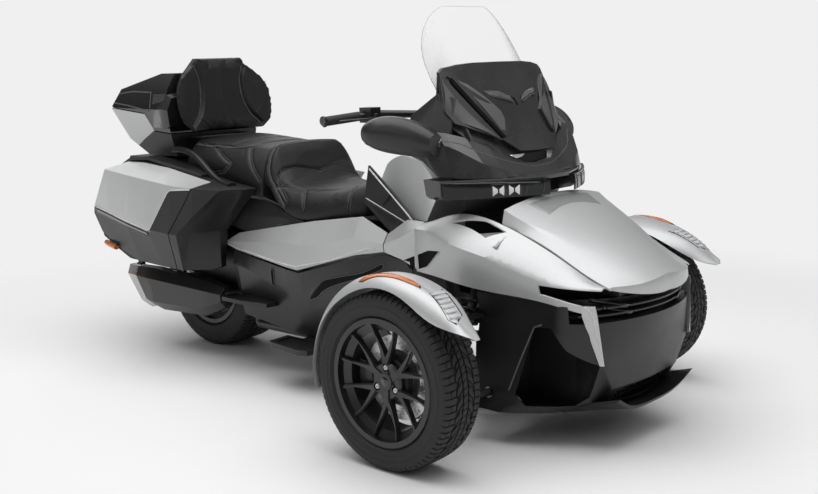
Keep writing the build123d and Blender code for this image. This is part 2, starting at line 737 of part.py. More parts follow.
def mirror():
    """Mirror pod ahead of the hand, with its glass recess (left side)."""
    sections = []
    for x, cy, cz, hw, hh in ((520, 438, 1010, 40, 34), (556, 434, 1009, 54, 50),
                              (640, 416, 1003, 57, 60), (712, 394, 988, 50, 52),
                              (762, 374, 972, 33, 34)):
        sections.append((
            (x, cy - hw, cz),
            ((x, cy - hw * 0.86, cz + hh * 0.72), (x, cy - hw * 0.3, cz + hh * 0.96)),
            ((x, cy + hw * 0.45, cz + hh * 0.96), (x, cy + hw * 0.9, cz + hh * 0.45)),
            ((x, cy + hw * 0.92, cz - hh * 0.35), (x, cy + hw * 0.45, cz - hh * 0.9)),
            ((x, cy - hw * 0.4, cz - hh * 0.98), (x, cy - hw * 0.85, cz - hh * 0.6)),
        ))
    pod = skin(sections)
    return pod - prism_x([(412, 990), (424, 1036), (464, 1030), (470, 992), (452, 982)], 500, 530)


def dash():
    """Instrument console between the cowl and the tank cover."""
    profile = [(440, 932), (560, 912), (632, 880), (640, 1000), (628, 1090), (560, 1105),
               (520, 1020), (440, 960)]
    return prism_y(profile, -150, 150)


def screen_display():
    """Instrument display on the console's slanted face."""
    return prism_y([(512, 1022), (552, 1107), (544, 1111), (504, 1026)], -120, 120)


def tank_cover():
    """Body-colour cover over the tank, between the seat and the fairing."""
    sections = []
    for x, top, half_top, half_low, low in (
        (292, 876, 120, 188, 760), (350, 905, 140, 205, 730), (450, 915, 165, 232, 705),
        (560, 868, 190, 262, 700), (628, 800, 215, 280, 700),
    ):
        sections.append(at_x(x, [
            (-half_low, low), (-half_top, top - 10), ((0, top + 6), (half_top, top - 10)),
            (half_low, low), (0, low - 4)]))
    return skin(sections)


def cheek():
    """Body-colour panel joining the side panel to the nose, ahead of the knee (left side)."""
    return panel_skin([
        (464, (304, 646), (328, 610), (325, 584)),
        (560, (304, 704), (340, 648), (337, 568)),
        (636, (301, 702), (351, 683), (348, 546)),
    ], PANEL_WALL)


def panel_skin(stations, wall):
    """Open skin of one wall thickness through three outer points per station."""
    back = min(p[0] for _, *points in stations for p in points) - 30
    outer, inner = [], []
    for x, (ay, az), (by, bz), (cy, cz) in stations:
        outer.append(at_x(x, [(ay, az), (by, bz), (cy, cz), (back, cz), (back, az)]))
        ay, by, cy = ay - wall, by - wall, cy - wall
        inner.append(at_x(x, [
            (ay, az + 40), (ay, az), (by, bz), (cy, cz), (cy, cz - 40), (back - 40, cz - 40),
            (back - 40, az + 40)]))
    return skin(outer, ruled=True) - skin(inner, ruled=True)


def knee_panel():
    """Storage door panel beside the tank (left side)."""
    t = 10
    return skin([
        at_x(290, [(216, 872), (244, 740), (244 - t, 740), (216 - t, 872)]),
        at_x(480, [(268, 770), (294, 640), (294 - t, 640), (268 - t, 770)]),
        at_x(590, [(300, 702), (305, 684), (305 - t, 684), (300 - t, 702)]),
    ], ruled=True)


# ---------------------------------------------------------------- middle bodywork
def side_skin():
    """Silver side panel between the seat and the running board (left side)."""
    return panel_skin([
        (-530, (238, 526), (246, 520), (247, 512)),
        (-440, (246, 566), (262, 532), (264, 498)),
        (-60, (248, 636), (318, 566), (338, 478)),
        (20, (250, 650), (328, 566), (346, 474)),
        (320, (286, 694), (334, 620), (330, 560)),
        (460, (304, 648), (328, 612), (325, 584)),
    ], PANEL_WALL)


def lower_cover():
    """Dark cover below the silver panel, down to the running board (left side)."""
    cover = panel_skin([
        (-480, (244, 490), (256, 440), (236, 330)),
        (-430, (254, 484), (268, 430), (244, 226)),
        (-60, (330, 466), (318, 380), (248, 186)),
        (20, (338, 462), (324, 380), (250, 184)),
        (320, (320, 548), (334, 440), (264, 190)),
        (460, (316, 572), (332, 452), (272, 214)),
        (600, (330, 556), (330, 470), (300, 300)),
    ], PANEL_WALL)
    return cover - prism_y([(-182, 448), (-168, 452), (-164, 392), (-178, 388)], 220, 420)


def seat_base():
    """Dark trim below both saddles, down to the side panel (left side)."""
    return panel_skin([
        (-700, (226, 768), (232, 700), (232, 640)),
        (-560, (228, 740), (234, 670), (234, 600)),
        (-400, (226, 712), (235, 640), (238, 574)),
        (-300, (219, 704), (236, 640), (240, 590)),
        (-196, (226, 676), (238, 650), (241, 618)),
        (-60, (230, 642), (236, 638), (240, 632)),
    ], PANEL_WALL)


def running_board():
    """Rider's foot board with its bracket (left side)."""
    board = prism_z([(-150, 262), (-140, 366), (-110, 376), (60, 398), (98, 384), (110, 262)], 160, 180)
    board -= prism_z([(-120, 274), (-112, 352), (60, 374), (84, 362), (90, 274)], 175, 190)
    return board + block(-60, 40, 200, 262, 160, 180)


def passenger_board():
    """Passenger's foot board on its stay (left side)."""
    board = prism_z([(-470, 262), (-470, 332), (-450, 346), (-330, 352), (-190, 330), (-180, 262)],
                    298, 314)
    board -= prism_z([(-450, 272), (-448, 324), (-330, 336), (-204, 316), (-200, 272)], 309, 320)
    return board + block(-380, -260, 240, 262, 298, 314)


# ---------------------------------------------------------------- seats
def rider_seat():
    """Rider's saddle with the raised lumbar bolster behind it."""
    sections = []
    for x, top, half, low, low_half in (
        (262, 802, 62, 690, 196), (160, 790, 112, 668, 220), (30, 766, 152, 650, 236),
        (-110, 764, 182, 652, 240), (-196, 800, 190, 690, 238), (-246, 902, 178, 742, 232),
        (-298, 932, 158, 770, 222),
    ):
        sections.append(at_x(x, [
            (-low_half, low), ((-low_half + 4, (low + top) / 2), (-half, top - 8)),
            ((0, top), (half, top - 8)), ((low_half - 4, (low + top) / 2), (low_half, low)),
            (0, low - 4)]))
    return skin(sections)


def passenger_seat():
    """Passenger's saddle, higher and wider than the rider's."""
    sections = []
    for x, top, half, low, low_half in (
        (-304, 916, 150, 716, 226), (-400, 922, 170, 724, 240), (-560, 934, 178, 752, 244),
        (-700, 942, 176, 780, 242), (-782, 940, 170, 802, 238),
    ):
        sections.append(at_x(x, [
            (-low_half, low), ((-low_half + 12, (low + top) / 2), (-half, top - 8)),
            ((0, top), (half, top - 8)), ((low_half - 12, (low + top) / 2), (low_half, low)),
            (0, low - 4)]))
    return skin(sections)


def backrest():
    """Passenger backrest pad with forward-swept side wings."""
    sections = []
    for z, half, wing, depth in ((962, 160, 184, 40), (1010, 186, 250, 52), (1100, 205, 264, 58),
                                 (1165, 196, 244, 54), (1225, 158, 176, 46), (1280, 112, 120, 30)):
        x = -796 - (z - 962) * 0.16
        sections.append((
            (x - depth, -half, z), (x - depth, half, z), (x + 30, wing, z),
            ((x - 2, wing * 0.55, z), (x - 6, 0, z)), ((x - 2, -wing * 0.55, z), (x + 30, -wing, z)),
            (x - depth, -half, z)))
    return skin(sections)


# ---------------------------------------------------------------- luggage
# Side case sections: x, then (y, z) of the top's inner edge, the crease, the waist and the foot
PANNIER_STATIONS = [
    (-1340, (280, 846), (392, 822), (394, 644), (348, 456)),
    (-1130, (280, 862), (418, 809), (424, 630), (372, 420)),
    (-950, (280, 868), (432, 795), (452, 604), (388, 408)),
    (-765, (280, 852), (440, 780), (471, 582), (394, 404)),
    (-616, (280, 824), (442, 768), (471, 574), (392, 404)),
    (-482, (280, 796), (437, 764), (456, 570), (384, 408)),
    (-300, (280, 772), (392, 757), (410, 572), (340, 420)),
]
PANNIER_SIDE = [(-280, 757), (-440, 775), (-616, 806), (-935, 852), (-1060, 846), (-1140, 812),
                (-1290, 604), (-1250, 500), (-1042, 420), (-560, 408), (-470, 440)]
# front face of the case: z, inner edge (x, y), facet edge (x, y)
PANNIER_NOSE = [(900, -160, 322, -212, 398), (758, -300, 315, -352, 400), (577, -502, 300, -550, 418),
                (425, -527, 280, -625, 388), (380, -534, 274, -648, 380)]
SEAM_LINE = [(-450, 820), (-497, 752), (-620, 572), (-676, 412), (-684, 380)]


def pannier_volume(tuck, y_in):
    """Whole outer form of a side case, drawn in by tuck (left side)."""
    sections = []
    for x, (iy, iz), (cy, cz), (wy, wz), (fy, fz) in PANNIER_STATIONS:
        sections.append(at_x(x, [
            (y_in, iz - tuck), (iy, iz - tuck), (cy - tuck, cz - tuck), (wy - tuck * 1.1, wz),
            (fy - tuck, fz + tuck), (fy - tuck, 360), (y_in, 360)]))
    form = skin(sections, ruled=True)
    cx, cz = -790, 625
    wide, high = 1 - tuck / 480, 1 - tuck / 215
    side = [(cx + (x - cx) * wide, cz + (z - cz) * high) for x, z in PANNIER_SIDE]
    levels = []
    for z, ix, iy, fx, fy in PANNIER_NOSE:
        levels.append((
            (-1500, y_in - 60, z), (ix - tuck * 1.4, y_in - 60, z), (ix - tuck * 1.4, iy, z),
            (fx - tuck * 1.4, fy, z), (fx - tuck * 1.4 - 60, 560, z), (-1500, 560, z)))
    return form & prism_y(side, y_in - 10, 600) & skin(levels, ruled=True)


def behind_seam(gap):
    """Everything behind the diagonal seam of a side case."""
    line = [(x - gap, z) for x, z in SEAM_LINE]
    return prism_y([*line, (-1500, 380), (-1500, 1000), (line[0][0], 1000)], 100, 700)


def outside_split(gap):
    """Everything outboard of the tilted split plane of a side case."""
    top, low = PANNIER_SPLIT - 62, PANNIER_SPLIT
    return prism_x([(low + gap, 380), (top + gap, 880), (760, 880), (760, 380)], -1500, -100)


def pannier_parts():
    """Side case body and its outer lid, parted by a tilted plane and a diagonal seam."""
    y_in = 256.0
    whole, core = pannier_volume(0, y_in), pannier_volume(CASE_WALL, y_in + CASE_WALL)
    lid_zone = outside_split(PANEL_GAP / 2) & behind_seam(PANEL_GAP)
    lid = (whole & lid_zone) - core
    # the body's rim stands proud of the lid along the top and the tail
    rim_side = [(-560, 806), (-616, 820), (-935, 864), (-1066, 858), (-1150, 820), (-1302, 606),
                (-1262, 494), (-1046, 420), (-560, 412)]
    rim = prism_y(rim_side, y_in, 332) - prism_y(PANNIER_SIDE, y_in + CASE_WALL, 400)
    body = (whole - core) - (outside_split(-PANEL_GAP / 2) & behind_seam(-PANEL_GAP / 2))
    body += rim - outside_split(-PANEL_GAP / 2)
    for x in (-960, -700):
        body += block(x - 15, x + 15, 370, PANNIER_HINGE.Y - 3, PANNIER_HINGE.Z - 3, 426)
        body += rod((x - 15, PANNIER_HINGE.Y, PANNIER_HINGE.Z),
                    (x + 15, PANNIER_HINGE.Y, PANNIER_HINGE.Z), 4.5)
    return body, lid


def top_case_form(t):
    """Top case filled solid, drawn in by t."""
    def ring(z, x0, x1, half):
        c = 46
        return outline(
            (x0 + t, -half + c, z), (x0 + t, half - c, z), (x0 + c, half - t, z),
            (x1 - t, half - t, z), (x1 - t, -half + t, z), (x0 + c, -half + t, z))
    return Solid(loft([
        ring(858 + t, -1150, -900, 200), ring(930, -1250, -884, 232), ring(1064, -1342, -888, 258),
        ring(1078, -1340, -888, 256), ring(1150 - t / 2, -1290, -894, 236),
        ring(1216 - t, -1040, -898, 190)], ruled=True).solid().wrapped)


def speaker_pod():
    """Wedge-shaped pod beside the backrest, part of the lid (left side)."""
    return skin([
        at_x(-1000, [(180, 985), (246, 985), (252, 1060), (226, 1110), (180, 1120)]),
        at_x(-900, [(180, 975), (266, 980), (276, 1066), (244, 1128), (180, 1140)]),
        at_x(-862, [(186, 985), (258, 990), (266, 1060), (240, 1112), (186, 1120)]),
    ], ruled=True)


def top_case_parts():
    """Top case tub and lid. The seam steps down to the lid's hinge at the front."""
    outer = top_case_form(0)
    shell = outer - top_case_form(LID_WALL)
    seam = [(-1400, 1076), (-1050, 1042), (-1000, 966), (-800, 950)]
    low = prism_y([(-1400, 800), *seam, (-800, 800)], -300, 300)
    high = prism_y([(x, z + PANEL_GAP + 1) for x, z in seam] + [(-800, 1300), (-1400, 1300)], -300, 300)
    pods = speaker_pod()
    pods += flip(pods)
    tub = (shell & low) + block(-1120, -910, -120, 120, 838, 860)
    for y in (-140, 130):
        tub += block(-892, LID_HINGE.X, y, y + 10, LID_HINGE.Z - 5, LID_HINGE.Z + 5)
    tub += rod((LID_HINGE.X, -140, LID_HINGE.Z), (LID_HINGE.X, 140, LID_HINGE.Z), 5)
    return tub, (shell & high) + (pods - outer)


def silencer():
    """Exhaust can low on the right side, tapered to both ends."""
    def ring(x, z0, z1, y0, y1, c, lean=0.0):
        corners = [(y0 + c, z0), (y1 - c, z0), (y1, z0 + c), (y1, z1 - c), (y1 - c, z1),
                   (y0 + c, z1), (y0, z1 - c), (y0, z0 + c)]
        return outline(*[(x - lean * (z - z0), y, z) for y, z in corners])
    can = Solid(loft([
        ring(-520, 246, 330, -302, -218, 26), ring(-640, 196, 350, -322, -206, 36),
        ring(-940, 184, 366, -330, -206, 40, 0.35), ring(-1004, 194, 362, -322, -210, 34, 0.7)],
        ruled=True).solid().wrapped)
    cap = Solid(loft([
        ring(-1004.5, 194, 362, -322, -210, 34, 0.7), ring(-1026, 186, 367, -328, -206, 34, 0.86)],
        ruled=True).solid().wrapped)
    cap -= rod((-1300, -267, 276), (-1040, -267, 276), 42)
    return can + rod((-440, -225, 300), (-530, -258, 290), 24), cap


# ---------------------------------------------------------------- running gear
def frame():
    """Steel frame: front cradle, lower rails, spine, tail rails and arm brackets."""
    pieces = []
    for side in (1, -1):
        pieces.append(rod((1000, side * 182, 178), (-420, side * 175, 178), 22))
        pieces.append(rod((1000, side * 205, 430), (690, side * 205, 430), 20))
        pieces.append(rod((1000, side * 182, 178), (1000, side * 205, 430), 16))
        pieces.append(rod((690, side * 182, 178), (690, side * 205, 430), 18))
        pieces.append(rod((690, side * 205, 430), (480, side * 60, 602), 20))
        pieces.append(rod((-420, side * 175, 178), (-420, side * 175, 430), 20))
        pieces.append(rod((-420, side * 175, 430), (-420, side * 120, 596), 20))
        pieces.append(rod((-420, side * 120, 596), (-1180, side * 150, 780), 18))
        for x in (FRONT_AXLE_X - 120, FRONT_AXLE_X + 120):
            for lug in (x - 28, x + 22):
                pieces.append(block(lug, lug + 6, side * 214 - 34, side * 214 + 34, 162, 194))
        for x in (FRONT_AXLE_X - 80, FRONT_AXLE_X + 80):
            for lug in (x - 26, x + 20):
                pieces.append(block(lug, lug + 6, side * 243 - 33, side * 243 + 33, 416, 444))
    pieces.append(rod((1000, -205, 430), (1000, 205, 430), 16))
    pieces.append(rod((690, -182, 178), (690, 182, 178), 18))
    pieces.append(rod((1000, -182, 178), (1000, 182, 178), 16))
    pieces.append(rod((480, -60, 602), (480, 60, 602), 22))
    pieces.append(rod((480, 0, 602), (-420, 0, 600), 28))
    pieces.append(rod((-420, -120, 596), (-420, 120, 596), 22))
    pieces.append(rod((-420, -175, 178), (-420, 175, 178), 22))
    pieces.append(rod((-420, -175, REAR_TYRE_R), (-420, 175, REAR_TYRE_R), 14))
    pieces.append(rod((-1180, -150, 780), (-1180, 150, 780), 18))
    body = pieces[0]
    for piece in pieces[1:]:
        body += piece
    return body


def engine():
    """Engine and gearbox as one plain block."""
    return block(-250, 330, -160, 160, 215, 560)


def swingarm():
    """Rear fork from the frame to the rear axle, with the axle through it."""
    z = REAR_TYRE_R
    arm = rod((-420, -150, z), (-420, 150, z), 26)
    for side in (1, -1):
        half = skin([
            at_x(-420, [(120, z - 28), (148, z - 28), (148, z + 28), (120, z + 28)]),
            at_x(-570, [(158, z - 32), (186, z - 32), (186, z + 32), (158, z + 32)]),
            at_x(-900, [(158, z - 34), (186, z - 34), (186, z + 34), (158, z + 34)]),
        ], ruled=True)
        arm += half if side == 1 else flip(half)
    arm += rod((REAR_AXLE_X, -192, z), (REAR_AXLE_X, 192, z), SPINDLE_R)
    return arm - rod((-420, -180, z), (-420, 180, z), 14)


def belt_plane(shape):
    """Move a drive piece drawn about Y = 0 into the belt's plane."""
    return shape.moved(Location((0, BELT_Y, 0)))


def pulley():
    """Toothed rear pulley with its hub (rear wheel frame)."""
    half = BELT_W / 2
    disc = turned([(-half, 22), (-half, PULLEY_R), (half, PULLEY_R), (half, 22)])
    for k in range(5):
        turn = 2 * pi * k / 5
        x, z = 64 * cos(turn), 64 * sin(turn)
        disc -= rod((x, -half - 5, z), (x, half + 5, z), 17)
    hub = rod((0, 60 - BELT_Y, 0), (0, half, 0), 40)
    return (disc + hub) - rod((0, -200, 0), (0, 200, 0), SPINDLE_R + RUNNING_GAP)


def drive_belt():
    """Closed belt from the gearbox sprocket to the rear pulley."""
    def loop(grow):
        big, small = PULLEY_R + grow, SPROCKET_R + grow
        run = REAR_AXLE_X - SPROCKET_X
        lean = asin((big - small) / abs(run))
        front = [(SPROCKET_X + small * cos(a), REAR_TYRE_R + small * sin(a))
                 for a in (lean - pi / 2, 0, pi / 2 - lean)]
        back = [(REAR_AXLE_X + big * cos(a), REAR_TYRE_R + big * sin(a))
                for a in (pi / 2 - lean, pi, lean - pi / 2)]
        front = [Vector(x, -BELT_W / 2, z) for x, z in front]
        back = [Vector(x, -BELT_W / 2, z) for x, z in back]
        edges = [
            Edge.make_three_point_arc(*front), Edge.make_line(front[2], back[0]),
            Edge.make_three_point_arc(*back), Edge.make_line(back[2], front[0]),
        ]
        return Solid.extrude(Face(Wire(edges)), Vector(0, BELT_W, 0))
    belt = loop(RUNNING_GAP + BELT_T) - loop(RUNNING_GAP)
    sprocket = rod((SPROCKET_X, -BELT_W / 2, REAR_TYRE_R),
                   (SPROCKET_X, BELT_W / 2, REAR_TYRE_R), SPROCKET_R)
    return belt_plane(belt), belt_plane(sprocket)


def rear_disc():
    """Rear brake disc on its carrier (rear wheel frame)."""
    ring_y = -124
    disc = turned([
        (-36, SPINDLE_R + 8), (-36, 40), (ring_y + 3, 46), (ring_y + 3, 130), (ring_y - 3, 130),
        (ring_y - 3, SPINDLE_R + 8),
    ])
    for k in range(18):
        for step, r in enumerate((92, 104, 116)):
            turn = radians(20 * k + 6 * step)
            x, z = r * cos(turn), r * sin(turn)
            disc -= rod((x, ring_y - 10, z), (x, ring_y + 10, z), 3.5)
    return disc


def rear_hugger():
    """Rear mudguard, open round the tyre."""
    faces = []
    for angle in (62, 90, 120, 150):
        a = radians(angle)
        r1, t = REAR_TYRE_R + 27, PANEL_WALL
        half = [(104, r1), (124, r1 - 12), (124, r1 - 34), (124 - t, r1 - 34), (124 - t, r1 - 14),
                (102, r1 - t)]
        pts = half + [(-y, r) for y, r in half[::-1]]
        faces.append(outline(*[
            (REAR_AXLE_X + r * cos(a), y, REAR_TYRE_R + r * sin(a)) for y, r in pts]))
    return Solid(loft(faces).solid().wrapped)


def tail_fairing():
    """Dark tail moulding between the side cases, over the rear wheel."""
    return skin([
        at_x(-880, [(-150, 800), (150, 800), (150, 838), (-150, 838)]),
        at_x(-1000, [(-200, 770), (200, 770), (190, 850), (-190, 850)]),
        at_x(-1240, [(-222, 690), (222, 690), (216, 850), (-216, 850)]),
        at_x(-1292, [(-204, 712), (204, 712), (196, 806), (-196, 806)]),
    ], ruled=True)


def tail_lamp():
    """Red lamp bar on the tail moulding's rear face."""
    return block(-1304, -1290, -190, 190, 730, 798)


def plate_holder():
    """Bracket with two holes below the tail lamp, left bare for a number plate."""
    bar = prism_x([(-94, 626), (94, 626), (94, 654), (60, 654), (44, 636), (-44, 636), (-60, 654),
                   (-94, 654)], -1412, -1406)
    for side in (1, -1):
        y = side * PLATE_HOLE_SPACING / 2
        bar -= rod((-1430, y, 640), (-1390, y, 640), PLATE_HOLE_R)
    arm = prism_y([(-1408, 612), (-1408, 636), (-1380, 652), (-1264, 724), (-1240, 700), (-1376, 626)],
                  -40, 40)
    return bar + arm


def grab_handle():
    """Passenger's grab handle beside the rear seat (left side)."""
    path = [(-872, 236, 890), (-800, 246, 894), (-700, 258, 876), (-560, 286, 812),
            (-470, 304, 778), (-384, 316, 768)]
    sections = []
    for x, y, z in path:
        wide = 15 if x < -450 else 26
        sections.append(at_x(x, [
            (y - wide, z - 6), (y - wide + 5, z + 9), ((y, z + 13), (y + wide - 5, z + 9)),
            (y + wide, z - 6), ((y, z - 13), (y - wide, z - 6))]))
    return skin(sections)


def brake_pedal():
    """Foot brake pad and its arm on the right, ahead of the rider's board."""
    arm = rod((150, -206, 190), (150, -300, 190), 9)
    pad = block(136, 172, -352, -292, 184, 196)
    return arm + pad


def steering_rack():
    """Centre link and the two tie rods, ball joints under the steering arms."""
    y_arm = WHEEL_Y - 80
    x_arm = FRONT_AXLE_X - STEERING_ARM
    bar = rod((x_arm, -170, 296), (x_arm, 170, 296), 16)
    for side in (1, -1):
        bar += rod((x_arm, side * 170, 296), (x_arm, side * y_arm, 296), 9)
        bar += rod((x_arm, side * y_arm, 286), (x_arm, side * y_arm, 309), 13)
    return bar


def handlebar():
    """Riser, bar and the two switch clusters."""
    bar = rod((430, 0, 985), (418, 0, 1052), 22)
    bar += rod((418, -70, 1052), (418, 70, 1052), 14)
    for side in (1, -1):
        bar += rod((418, side * 70, 1052), (330, side * 215, 1060), 14)
        bar += rod((330, side * 215, 1060), (262, side * 392, 1042), 11)
        bar += block(296, 352, side * 232 - 26, side * 232 + 26, 1030, 1084)
    return bar


def grips():
    """Rubber grips."""
    out = []
    for side in (1, -1):
        a, b = Vector(308, side * 272, 1054.2), Vector(258, side * 402, 1041)
        run = (b - a).normalized()
        grip = rod(tuple(a), tuple(b), 17) + rod(tuple(b - run * 8), tuple(b), 20)
        grip -= rod((330, side * 215, 1060), (262, side * 392, 1042), 11)
        out.append(grip)
    return out


# ---------------------------------------------------------------- build every node
def main():
    front_tyre = at_front(tyre(FRONT_TYRE_R, FRONT_TYRE_W))
    front_wheel = at_front(front_rim())
    front_disc = at_front(brake_disc(DISC_R, 26, -12))
    left_fender = fender()
    left_knuckle = knuckle() + (fender_stay() - left_fender) + at_front(caliper_bracket(-12))
    left_caliper = at_front(caliper(-12)) - left_knuckle
    for side, turn in (("left", lambda s: s), ("right", flip)):
        save(f"front_tyre_{side}", turn(front_tyre))
        save(f"front_rim_{side}", turn(front_wheel))
        save(f"front_brake_disc_{side}", turn(front_disc))
        save(f"front_knuckle_{side}", turn(left_knuckle))
        save(f"front_brake_caliper_{side}", turn(left_caliper))
        save(f"front_fender_{side}", turn(left_fender))
    save("rear_tyre", at_rear(tyre(REAR_TYRE_R, REAR_TYRE_W)))
    save("rear_rim", at_rear(rear_rim()))

    lower, upper = wishbones()
    save("wishbones", lower, upper, flip(lower), flip(upper))
    leg = spring_leg()
    save("front_shock_absorbers", leg, flip(leg))
    save("hood", hood())
    side_panel = nose_side()
    save("nose_side_panels", side_panel, flip(side_panel))
    trunk = front_trunk()
    save("front_trunk", trunk)
    cradle = frame()
    bumper = fascia() + grille() - side_panel - flip(side_panel) - cradle - trunk
    save("front_fascia", bumper)
    save("splitter", splitter() - fascia_volume(-0.4))
    lens = headlamp_lens()
    save("headlamp_housing", headlamp_housing() - lens - flip(lens))
    save("headlamp_lenses", lens, flip(lens))
    shield = cowl()
    save("cowl", shield)
    save("windscreen", windscreen() - shield)
    pod = biggest(mirror() - shield)
    save("mirrors", pod, flip(pod))
    save("dash", dash() + screen_display())
    front_side = cheek()
    save("tank_cover", tank_cover(), front_side, flip(front_side))
    door = knee_panel() - front_side
    save("knee_panels", door, flip(door))
    side = side_skin()
    save("side_panels", side, flip(side))
    cover = lower_cover()
    saddle = rider_seat()
    trim = seat_base() - saddle
    can, can_cap = silencer()
    save("lower_side_covers", cover, flip(cover) - can, trim, flip(trim))
    board, rear_board = running_board() - cradle - cover, passenger_board() - cover
    pedal = brake_pedal() - flip(cover)
    save("footboards", board, flip(board), rear_board, flip(rear_board), pedal)
    save("rider_seat", saddle)
    save("passenger_seat", passenger_seat())
    body, lid = pannier_parts()
    save("pannier_bodies", body, flip(body))
    save("pannier_lid_left", lid)
    save("pannier_lid_right", flip(lid))
    tub, cap = top_case_parts()
    tail = tail_fairing() - cradle
    save("top_case", tub - tail)
    save("top_case_lid", cap)
    save("backrest", backrest() - cap)
    save("silencer", can)
    save("silencer_cap", can_cap)
    save("frame", cradle)
    save("engine", engine())
    save("swingarm", swingarm())
    save("rear_fender", rear_hugger())
    lamp = tail_lamp()
    save("tail_fairing", tail - lamp)
    save("tail_lamp", lamp)
    save("plate_holder", plate_holder() - tail)
    save("rear_pulley", at_rear(belt_plane(pulley())))
    save("rear_brake_disc", at_rear(rear_disc()))
    save("drive_belt", *drive_belt())
    handle = biggest(grab_handle() - body)
    save("grab_handles", handle, flip(handle))
    save("steering_rack", steering_rack())
    save("handlebar", handlebar())
    save("grips", *grips())


if __name__ == "__main__":
    main()
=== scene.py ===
import bpy, bmesh, json, math, numpy
from mathutils import Vector, Matrix
from mathutils.bvhtree import BVHTree
from mathutils.geometry import delaunay_2d_cdt


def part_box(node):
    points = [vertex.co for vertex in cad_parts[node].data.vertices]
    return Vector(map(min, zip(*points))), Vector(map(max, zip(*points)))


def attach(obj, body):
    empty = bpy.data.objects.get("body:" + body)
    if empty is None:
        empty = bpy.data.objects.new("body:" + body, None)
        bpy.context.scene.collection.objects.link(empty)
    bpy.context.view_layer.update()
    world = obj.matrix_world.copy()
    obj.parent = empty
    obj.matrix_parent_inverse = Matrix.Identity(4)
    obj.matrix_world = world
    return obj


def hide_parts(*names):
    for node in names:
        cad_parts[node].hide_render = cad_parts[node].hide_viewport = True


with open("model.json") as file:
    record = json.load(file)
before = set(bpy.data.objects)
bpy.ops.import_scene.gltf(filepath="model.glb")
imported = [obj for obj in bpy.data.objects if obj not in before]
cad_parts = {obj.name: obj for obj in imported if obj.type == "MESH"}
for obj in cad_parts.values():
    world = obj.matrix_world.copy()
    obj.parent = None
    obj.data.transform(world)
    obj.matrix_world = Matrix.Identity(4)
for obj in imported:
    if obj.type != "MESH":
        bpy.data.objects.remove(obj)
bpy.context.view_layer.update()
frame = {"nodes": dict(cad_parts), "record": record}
scene = bpy.context.scene
nodes = frame["nodes"]
bothSides = (("left", 1), ("right", -1))
print("frame loaded:", len(nodes), "nodes")

# camera: stands at the front right corner, a little above the lamps
camera = {"target": (0.5279, -0.2659, 0.600), "distance": 3.9656, "around": 43.014, "above": 9.599,
          "roll": -1.642, "lens": 49.69}


def makeCamera(v):
    a, e, r = (math.radians(v[k]) for k in ("around", "above", "roll"))
    back = Vector((math.sin(a) * math.cos(e), -math.cos(a) * math.cos(e), math.sin(e)))
    right = Vector((math.cos(a), math.sin(a), 0))
    up = back.cross(right)
    side = right * math.cos(r) + up * math.sin(r)
    top = up * math.cos(r) - right * math.sin(r)
    data = bpy.data.cameras.new("camera")
    data.lens = v["lens"]
    data.sensor_width = 36
    cam = bpy.data.objects.new("camera", data)
    cam.matrix_world = Matrix.Translation(Vector(v["target"]) + back * v["distance"]) @ \
        Matrix((side, top, back)).transposed().to_4x4()
    scene.collection.objects.link(cam)
    scene.camera = cam


makeCamera(camera)
scene.view_settings.view_transform = "Standard"


# shader maths: a wrapped socket, so 1 - mask makes the node
class Sock:
    def __init__(self, look, out):
        self.look, self.out = look, out

    def calc(self, operation, *values):
        return self.look.node("ShaderNodeMath", {"operation": operation}, dict(enumerate(values)))

    def __add__(self, other):
        return self.calc("ADD", self, other)

    def __sub__(self, other):
        return self.calc("SUBTRACT", self, other)

    def __rsub__(self, other):
        return self.calc("SUBTRACT", other, self)

    def __mul__(self, other):
        return self.calc("MULTIPLY", self, other)

    __radd__, __rmul__ = __add__, __mul__


class Look:
    def __init__(self, name, owner=None):
        self.material = owner or bpy.data.materials.new(name)
        self.material.use_nodes = True
        self.tree = self.material.node_tree
        self.tree.nodes.clear()
        self.place = self.node("ShaderNodeTexCoord", out="Generated" if owner else "Object")

    def node(self, kind, settings=None, inputs=None, out=0):
        made = self.tree.nodes.new(kind)
        for key, value in (settings or {}).items():
            setattr(made, key, value)
        for key, value in (inputs or {}).items():
            if isinstance(value, Sock):
                self.tree.links.new(value.out, made.inputs[key])
            else:
                made.inputs[key].default_value = value
        return Sock(self, made.outputs[out])

    def noise(self, scale, detail=2.0, rough=0.5, at=None):
        inputs = {"Vector": at or self.place, "Scale": scale, "Detail": detail, "Roughness": rough}
        return self.node("ShaderNodeTexNoise", {}, inputs, "Fac")

    def bump(self, height, strength, distance):
        return self.node("ShaderNodeBump", {}, {"Strength": strength, "Distance": distance, "Height": height})

    def blend(self, mask, low, high):
        return self.node("ShaderNodeMix", {"data_type": "RGBA"}, {0: mask, 6: low, 7: high}, 2)

    def span(self, value, low, high, toLow=0.0, toHigh=1.0):
        return self.node("ShaderNodeMapRange", {"interpolation_type": "SMOOTHSTEP"},
                         {0: value, 1: low, 2: high, 3: toLow, 4: toHigh})

    def axis(self, which):
        return self.node("ShaderNodeSeparateXYZ", {}, {0: self.place}, which)

    def finish(self, **inputs):
        names = {key.replace("_", " "): value for key, value in inputs.items()}
        surface = self.node("ShaderNodeBsdfPrincipled", {}, names)
        return self.close(surface)

    def close(self, surface):
        out = self.tree.nodes.new("ShaderNodeOutputMaterial")
        self.tree.links.new(surface.out, out.inputs["Surface"])
        return self.material


def rgb(r, g=None, b=None):
    return (r, r if g is None else g, r if b is None else b, 1)


